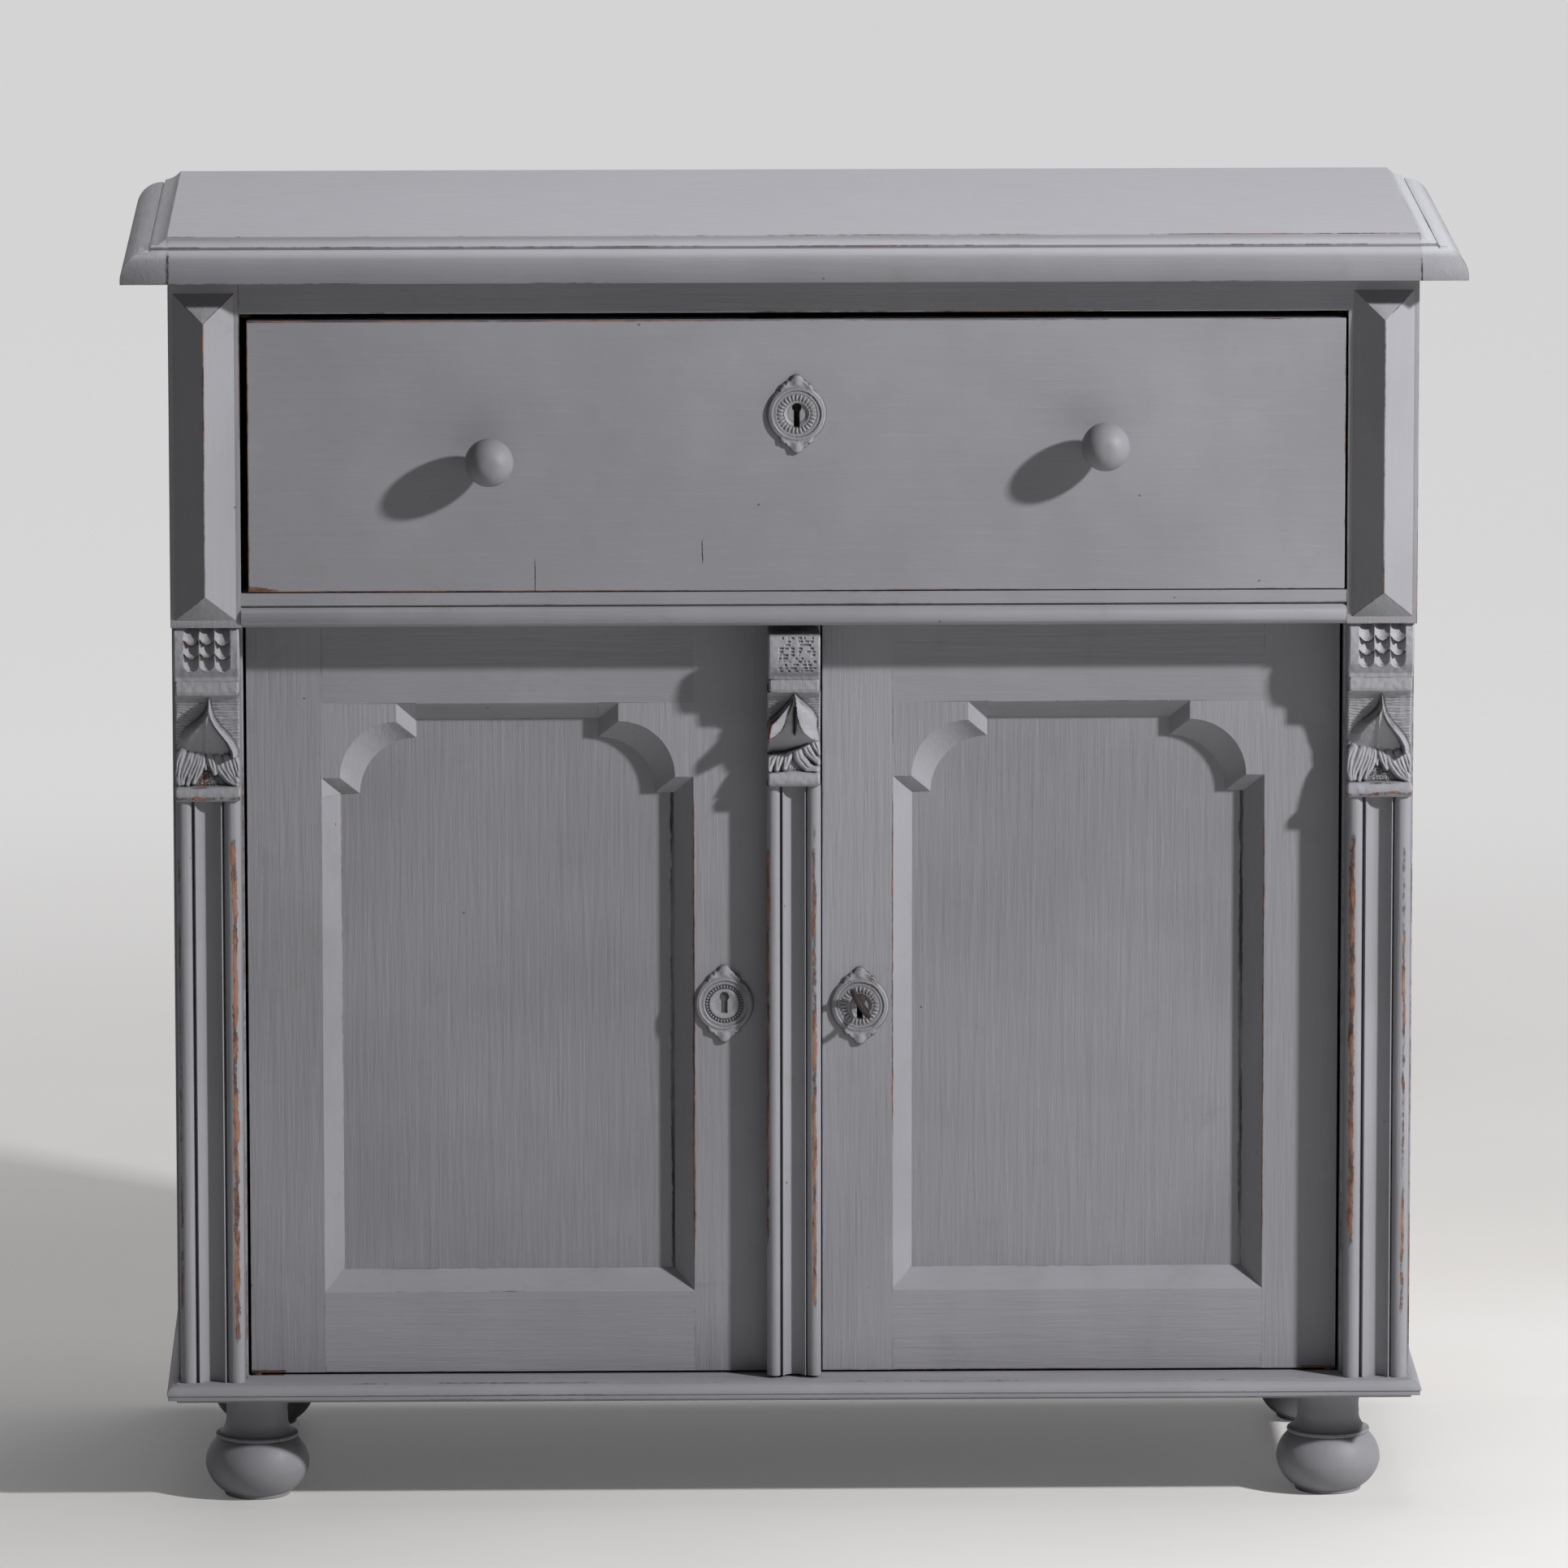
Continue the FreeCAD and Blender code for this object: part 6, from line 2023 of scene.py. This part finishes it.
class Cabinet:
    """The whole sideboard, dressed part by part.

    Attributes:
        painted: Painted boards with their body and grain. Their order sets the seed of each.
        wear_of: Wear of a board, where it isn't that of most. Below 0 nothing is rubbed through.
        tone_and_shade_of: How light the paint of a board is. Where it is darker, that is partly
        painted shade: on the left-hand boards, the panels and the top.
        ridges_of: Depth of brush marks and grain, where it isn't that of most.
        crease_of: Least corner that is rounded, where it isn't that of most.
        ridges_beside_flute: Places of the ridges of each shaft.
        scrapes_of: Strips rubbed through, which follow those in the photograph.
        cracks_of: Open joints and cracks.
        bare: Unpainted nodes with their grain.
        iron: Nodes of old iron.
    """

    painted = {
        node: (body, grain)
        for body, grain, nodes in (
            ("casing", Grain.X, ("top_board",)),
            ("casing", Grain.Y, ("top_cleat_left", "top_cleat_right")),
            ("casing", Grain.Z, (
                "side_panel_left", "side_panel_right", "front_post_left", "front_post_right",
                "diamond_block_left", "diamond_block_right",
            )),
            ("casing", Grain.X, ("top_rail", "mid_rail", "base_moulding_front")),
            ("casing", Grain.Y, ("base_moulding_sides",)),
            ("drawer", Grain.X, ("drawer_front",)),
            *(
                (door, grain, (f"{door}_{one}", f"{door}_{other}"))
                for door in ("left_door", "right_door")
                for grain, one, other in (
                    (Grain.Z, "hinge_stile", "meeting_stile"),
                    (Grain.X, "top_rail", "bottom_rail"),
                    (Grain.Z, "panel", "corner_blocks"),
                )
            ),
            ("casing", Grain.Z, ("pilaster_shaft_left", "pilaster_shaft_right")),
            ("left_door", Grain.Z, ("centre_pilaster_shaft",)),
            ("casing", Grain.X, ("bottom_board",)),
        )
        for node in nodes
    }

    usual_wear = 0.4
    usual_ridges = 0.00022
    door_ridges = 0.0003
    usual_crease = 32.0
    seed_step = 3.7
    # Painted sheen with a dusty look, on the upward faces of the top and its cleats.
    top_dust_and_sheen = 0.75

    wear_of = {
        "pilaster_shaft_left": -0.3,
        "pilaster_shaft_right": -0.3,
        "centre_pilaster_shaft": -0.3,
        "diamond_block_left": 0.6,
        "diamond_block_right": 0.6,
        "drawer_front": 0.55,
        "left_door_meeting_stile": 0.2,
        "right_door_hinge_stile": 0.2,
        "left_door_corner_blocks": -0.4,
        "right_door_corner_blocks": -0.4,
    }

    # Partly painted shade: the left-hand boards, the panels and the top are darkened.
    tone_and_shade_of = {
        "top_board": 0.78,
        "top_cleat_left": 0.8,
        "top_cleat_right": 0.95,
        "left_door_panel": 0.87,
        "right_door_panel": 0.88,
        "left_door_hinge_stile": 0.9,
        "left_door_meeting_stile": 0.95,
        "left_door_top_rail": 0.93,
        "right_door_top_rail": 0.95,
    }

    ridges_of = {"drawer_front": 0.00012}
    crease_of = {"diamond_block_left": 14.0, "diamond_block_right": 14.0}

    ridges_beside_flute = {
        "pilaster_shaft_left": (-0.485, -0.464),
        "pilaster_shaft_right": (0.464, 0.485),
        "centre_pilaster_shaft": (-0.009, 0.009),
    }

    scrapes_of = {
        "pilaster_shaft_left": (
            Scrape(0, -0.4543, 0.0030, 1.0, (0.12, 0.575)),
            Scrape(0, -0.4985, 0.0016, 0.8, (0.15, 0.56)),
        ),
        "pilaster_shaft_right": (
            Scrape(0, 0.4528, 0.0034, 0.95, (0.2, 0.575)),
            Scrape(0, 0.4956, 0.0021, 0.95, (0.14, 0.565)),
        ),
        "centre_pilaster_shaft": (
            Scrape(0, 0.0164, 0.0024, 1.05, (0.15, 0.585)),
            Scrape(0, -0.0209, 0.0019, 1.0, (0.2, 0.56)),
        ),
        "left_door_meeting_stile": (Scrape(0, -0.0812, 0.0014, 0.86, (0.2, 0.6)),),
        "right_door_hinge_stile": (Scrape(0, 0.3828, 0.0010, 0.8, (0.2, 0.58)),),
        "right_door_meeting_stile": (Scrape(0, 0.0807, 0.0011, 0.8, (0.3, 0.6)),),
        "drawer_front": (
            Scrape(2, 0.7630, 0.0036, 1.0, (-ENDLESS, -0.408), 0.014),
            Scrape(2, 0.7622, 0.0010, 0.82, (-ENDLESS, -0.1), 0.1),
            Scrape(2, 0.9816, 0.0010, 0.8, (-ENDLESS, 0.0), 0.2),
            Scrape(0, -0.4396, 0.0009, 0.7),
        ),
    }

    cracks_of = {
        "left_door_panel": (Scrape(0, -0.0985, 0.0021),),
        "right_door_panel": (Scrape(0, 0.3655, 0.0021),),
        "drawer_front": (
            Scrape(0, -0.2090, 0.0006, span=(0.5, 0.790), fade=0.006),
            Scrape(0, -0.0740, 0.0006, span=(0.782, 0.806), fade=0.006),
        ),
        "top_board": (
            Scrape(0, -0.5022, 0.0014, span=(-ENDLESS, 1.042), fade=0.004),
            Scrape(0, 0.5022, 0.0014, span=(-ENDLESS, 1.036), fade=0.004),
        ),
    }

    bare = {
        node: grain
        for grain, nodes in (
            (Grain.Z, ("back_boards",)),
            (Grain.X, ("shelf", "drawer_back", "drawer_bottom")),
            (Grain.Y, ("shelf_battens", "drawer_runners", "drawer_side_left", "drawer_side_right")),
        )
        for node in nodes
    }

    iron = (
        "carcass_pivot_plates", "drawer_lock", "drawer_lock_bolt", "left_door_pivot_sockets",
        "left_door_bolt_plate", "left_door_bolt", "right_door_pivot_sockets", "right_door_lock",
        "right_door_lock_bolt",
    )

    # Faces that capitals, knobs and escutcheons lie on, and the middles of the pilasters and feet.
    post_face = -0.15125
    door_face = -0.13725
    drawer_face = -0.18525
    pilaster_middle = 0.4745
    foot_across = 0.440
    foot_depths = {"front": -0.10525, "back": 0.16375}

    def __init__(self) -> None:
        """Start with an empty palette."""
        self.palette = Palette()

    def build(self) -> None:
        """Build every piece of the cabinet."""
        self.paint_boards()
        self.carve_capitals()
        self.set_metalwork()
        self.turn_wood()
        self.dress_inside()

    def paint_boards(self) -> None:
        """Dress every flat painted board."""
        for index, (node, (body, grain)) in enumerate(self.painted.items()):
            usual = self.door_ridges if "door" in node else self.usual_ridges
            finish = PaintedPine(
                "paint_" + node, grain, toned(PAINT, self.tone_and_shade_of.get(node, 1.0)),
                wear=self.wear_of.get(node, self.usual_wear), ridges=self.ridges_of.get(node, usual),
                scrapes=self.scrapes_of.get(node, ()), cracks=self.cracks_of.get(node, ()),
                dust_and_sheen=self.top_dust_and_sheen if node.startswith(("top_board", "top_cleat")) else 0.0,
                seed=index * self.seed_step,
            )
            if node in self.ridges_beside_flute:
                board = FlutedShaft(node, body, ridges=self.ridges_beside_flute[node])
            else:
                crease = self.crease_of.get(node, self.usual_crease)
                board = SoftenedBoard(node, body, crease=crease)
            board.build(self.palette.get(finish))

    def carve_capitals(self) -> None:
        """Carve the two side capitals and the one on the left door."""
        material = self.palette.get(PaintedPine(
            "paint_carving", Grain.Z, toned(PAINT, 1.08), ridges=0.00012, seed=91.0,
            scrapes=(Scrape(2, 0.5912, 0.0024, 0.7),),
        ))
        for side, middle in (("left", -self.pilaster_middle), ("right", self.pilaster_middle)):
            capital = Capital("capital_" + side, "casing", middle, self.post_face, seed=middle * 40)
            capital.build(material)
        Capital(
            "centre_capital", "left_door", 0.0, self.door_face, block_half=21.0, block_top=724.0,
            block_bottom=687.5, fillet_reach=37.0, fillet_bottom=676.5, ground_half=21.6,
            collar_top=610.0, collar_bottom=597.0, collar_reach=29.0, lobed=True, hood_tip=0.4,
            scales=False, seed=5.0,
            block_profile=(
                (687.5, 37.5), (691, 39.5), (694.5, 43.5), (699, 46.4), (707, 47.8), (716, 47),
                (721, 45.6), (724, 43.6),
            ),
            ground_profile=(
                (610, 13), (640, 16), (650, 19), (660, 23), (667, 26.5), (672, 30), (676.5, 35),
            ),
            face_fall=(
                (618, 12), (625, 15), (632, 19.5), (640, 25.5), (650, 31), (660, 34.5), (676, 37),
            ),
            hood_left=(
                (618, 21.6), (642, 21.6), (651, 20), (657.5, 13), (666.5, 5.4), (670.5, 2.6),
                (676.3, 0),
            ),
            hood_right=(
                (618, 21.6), (637, 20.8), (645, 18.8), (653, 18.6), (660, 15.2), (665, 10),
                (670.5, 4.4), (676.3, 0),
            ),
            hood_hem=((-22, 618.5), (-7, 620), (5, 624.5), (14, 629), (20, 633), (22, 635)),
            leaf_reach=((610, 27), (616, 25), (623, 22), (640, 20)),
            leaves=(
                Leaf(((-14, 626), (-18.6, 619), (-20.4, 611.5)), 3.9),
                Leaf(((-9, 626), (-12, 619), (-14, 611.5)), 3.2),
                Leaf(((-4, 627), (-5.5, 620), (-7.5, 612.5)), 3),
                Leaf(((2.2, 629), (4.6, 620), (11, 613), (18.5, 611.6)), 3.7),
                Leaf(((8.5, 632), (12, 625), (19.6, 617)), 3.5),
                Leaf(((15, 636), (17.6, 630), (20.4, 624)), 3),
            ),
        ).build(material)

    def set_metalwork(self) -> None:
        """Set the three escutcheons and the key."""
        cast = PaintedPine("paint_on_castings", Grain.Z, PAINT, wear=0.35, ridges=0.00005, seed=57.0)
        for plate in (
            Escutcheon("drawer_escutcheon", "drawer", 0.002, 0.906, self.drawer_face),
            Escutcheon(
                "left_door_escutcheon", "left_door", -0.0565, 0.414, self.door_face, blind=True,
                keyhole_radius=4.1, keyhole_rise=6.2, keyhole_drop=8.0, slot_half=2.7,
            ),
            Escutcheon("right_door_escutcheon", "right_door", 0.054, 0.412, self.door_face),
        ):
            plate.build(self.palette.get(cast))
        Key().build(self.palette.get(OldMetal("key_iron", KEY_TONE, KEY_RUST_TONE, 0.7, 0.1, 11.0)))

    def turn_wood(self) -> None:
        """Turn the knobs and the feet."""
        material = self.palette.get(PaintedPine(
            "paint_turned", Grain.Z, toned(PAINT, 0.88), wear=0.3, ridges=0.00008, seed=33.0,
        ))
        Knob("knob_left", (-0.2455, self.drawer_face, 0.871)).build(material)
        Knob("knob_right", (0.2495, self.drawer_face, 0.882)).build(material)
        for row, depth in self.foot_depths.items():
            for side, across in (("left", -self.foot_across), ("right", self.foot_across)):
                Foot(f"foot_{row}_{side}", (across, depth, 0.0)).build(material)

    def dress_inside(self) -> None:
        """Give bare wood and iron their finishes."""
        for node, grain in self.bare.items():
            finish = BarePine("bare_pine_" + grain.name.lower(), grain)
            if node == "back_boards":
                finish = BarePine("bare_pine_back", grain, seams=self.back_seams())
            dress(node, self.palette.get(finish))
        for node in self.iron:
            dress(node, self.palette.get(OldMetal("old_iron", IRON_TONE, RUST_TONE)))

    def back_seams(self, boards: int = 5) -> tuple[float, ...]:
        """Work out where the back boards meet.

        Args:
            boards: Number of boards.

        Returns:
            Their joints, on X.
        """
        low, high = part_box("back_boards")
        width = (high.x - low.x) / boards
        return tuple(round(low.x + width * index, 5) for index in range(1, boards))


def main() -> None:
    """Build the studio and the cabinet."""
    logging.basicConfig(level=logging.INFO, format="%(name)s: %(message)s")
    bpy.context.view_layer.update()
    Studio().build()
    Cabinet().build()
    bpy.context.view_layer.update()


if __name__ == "__main__":
    main()
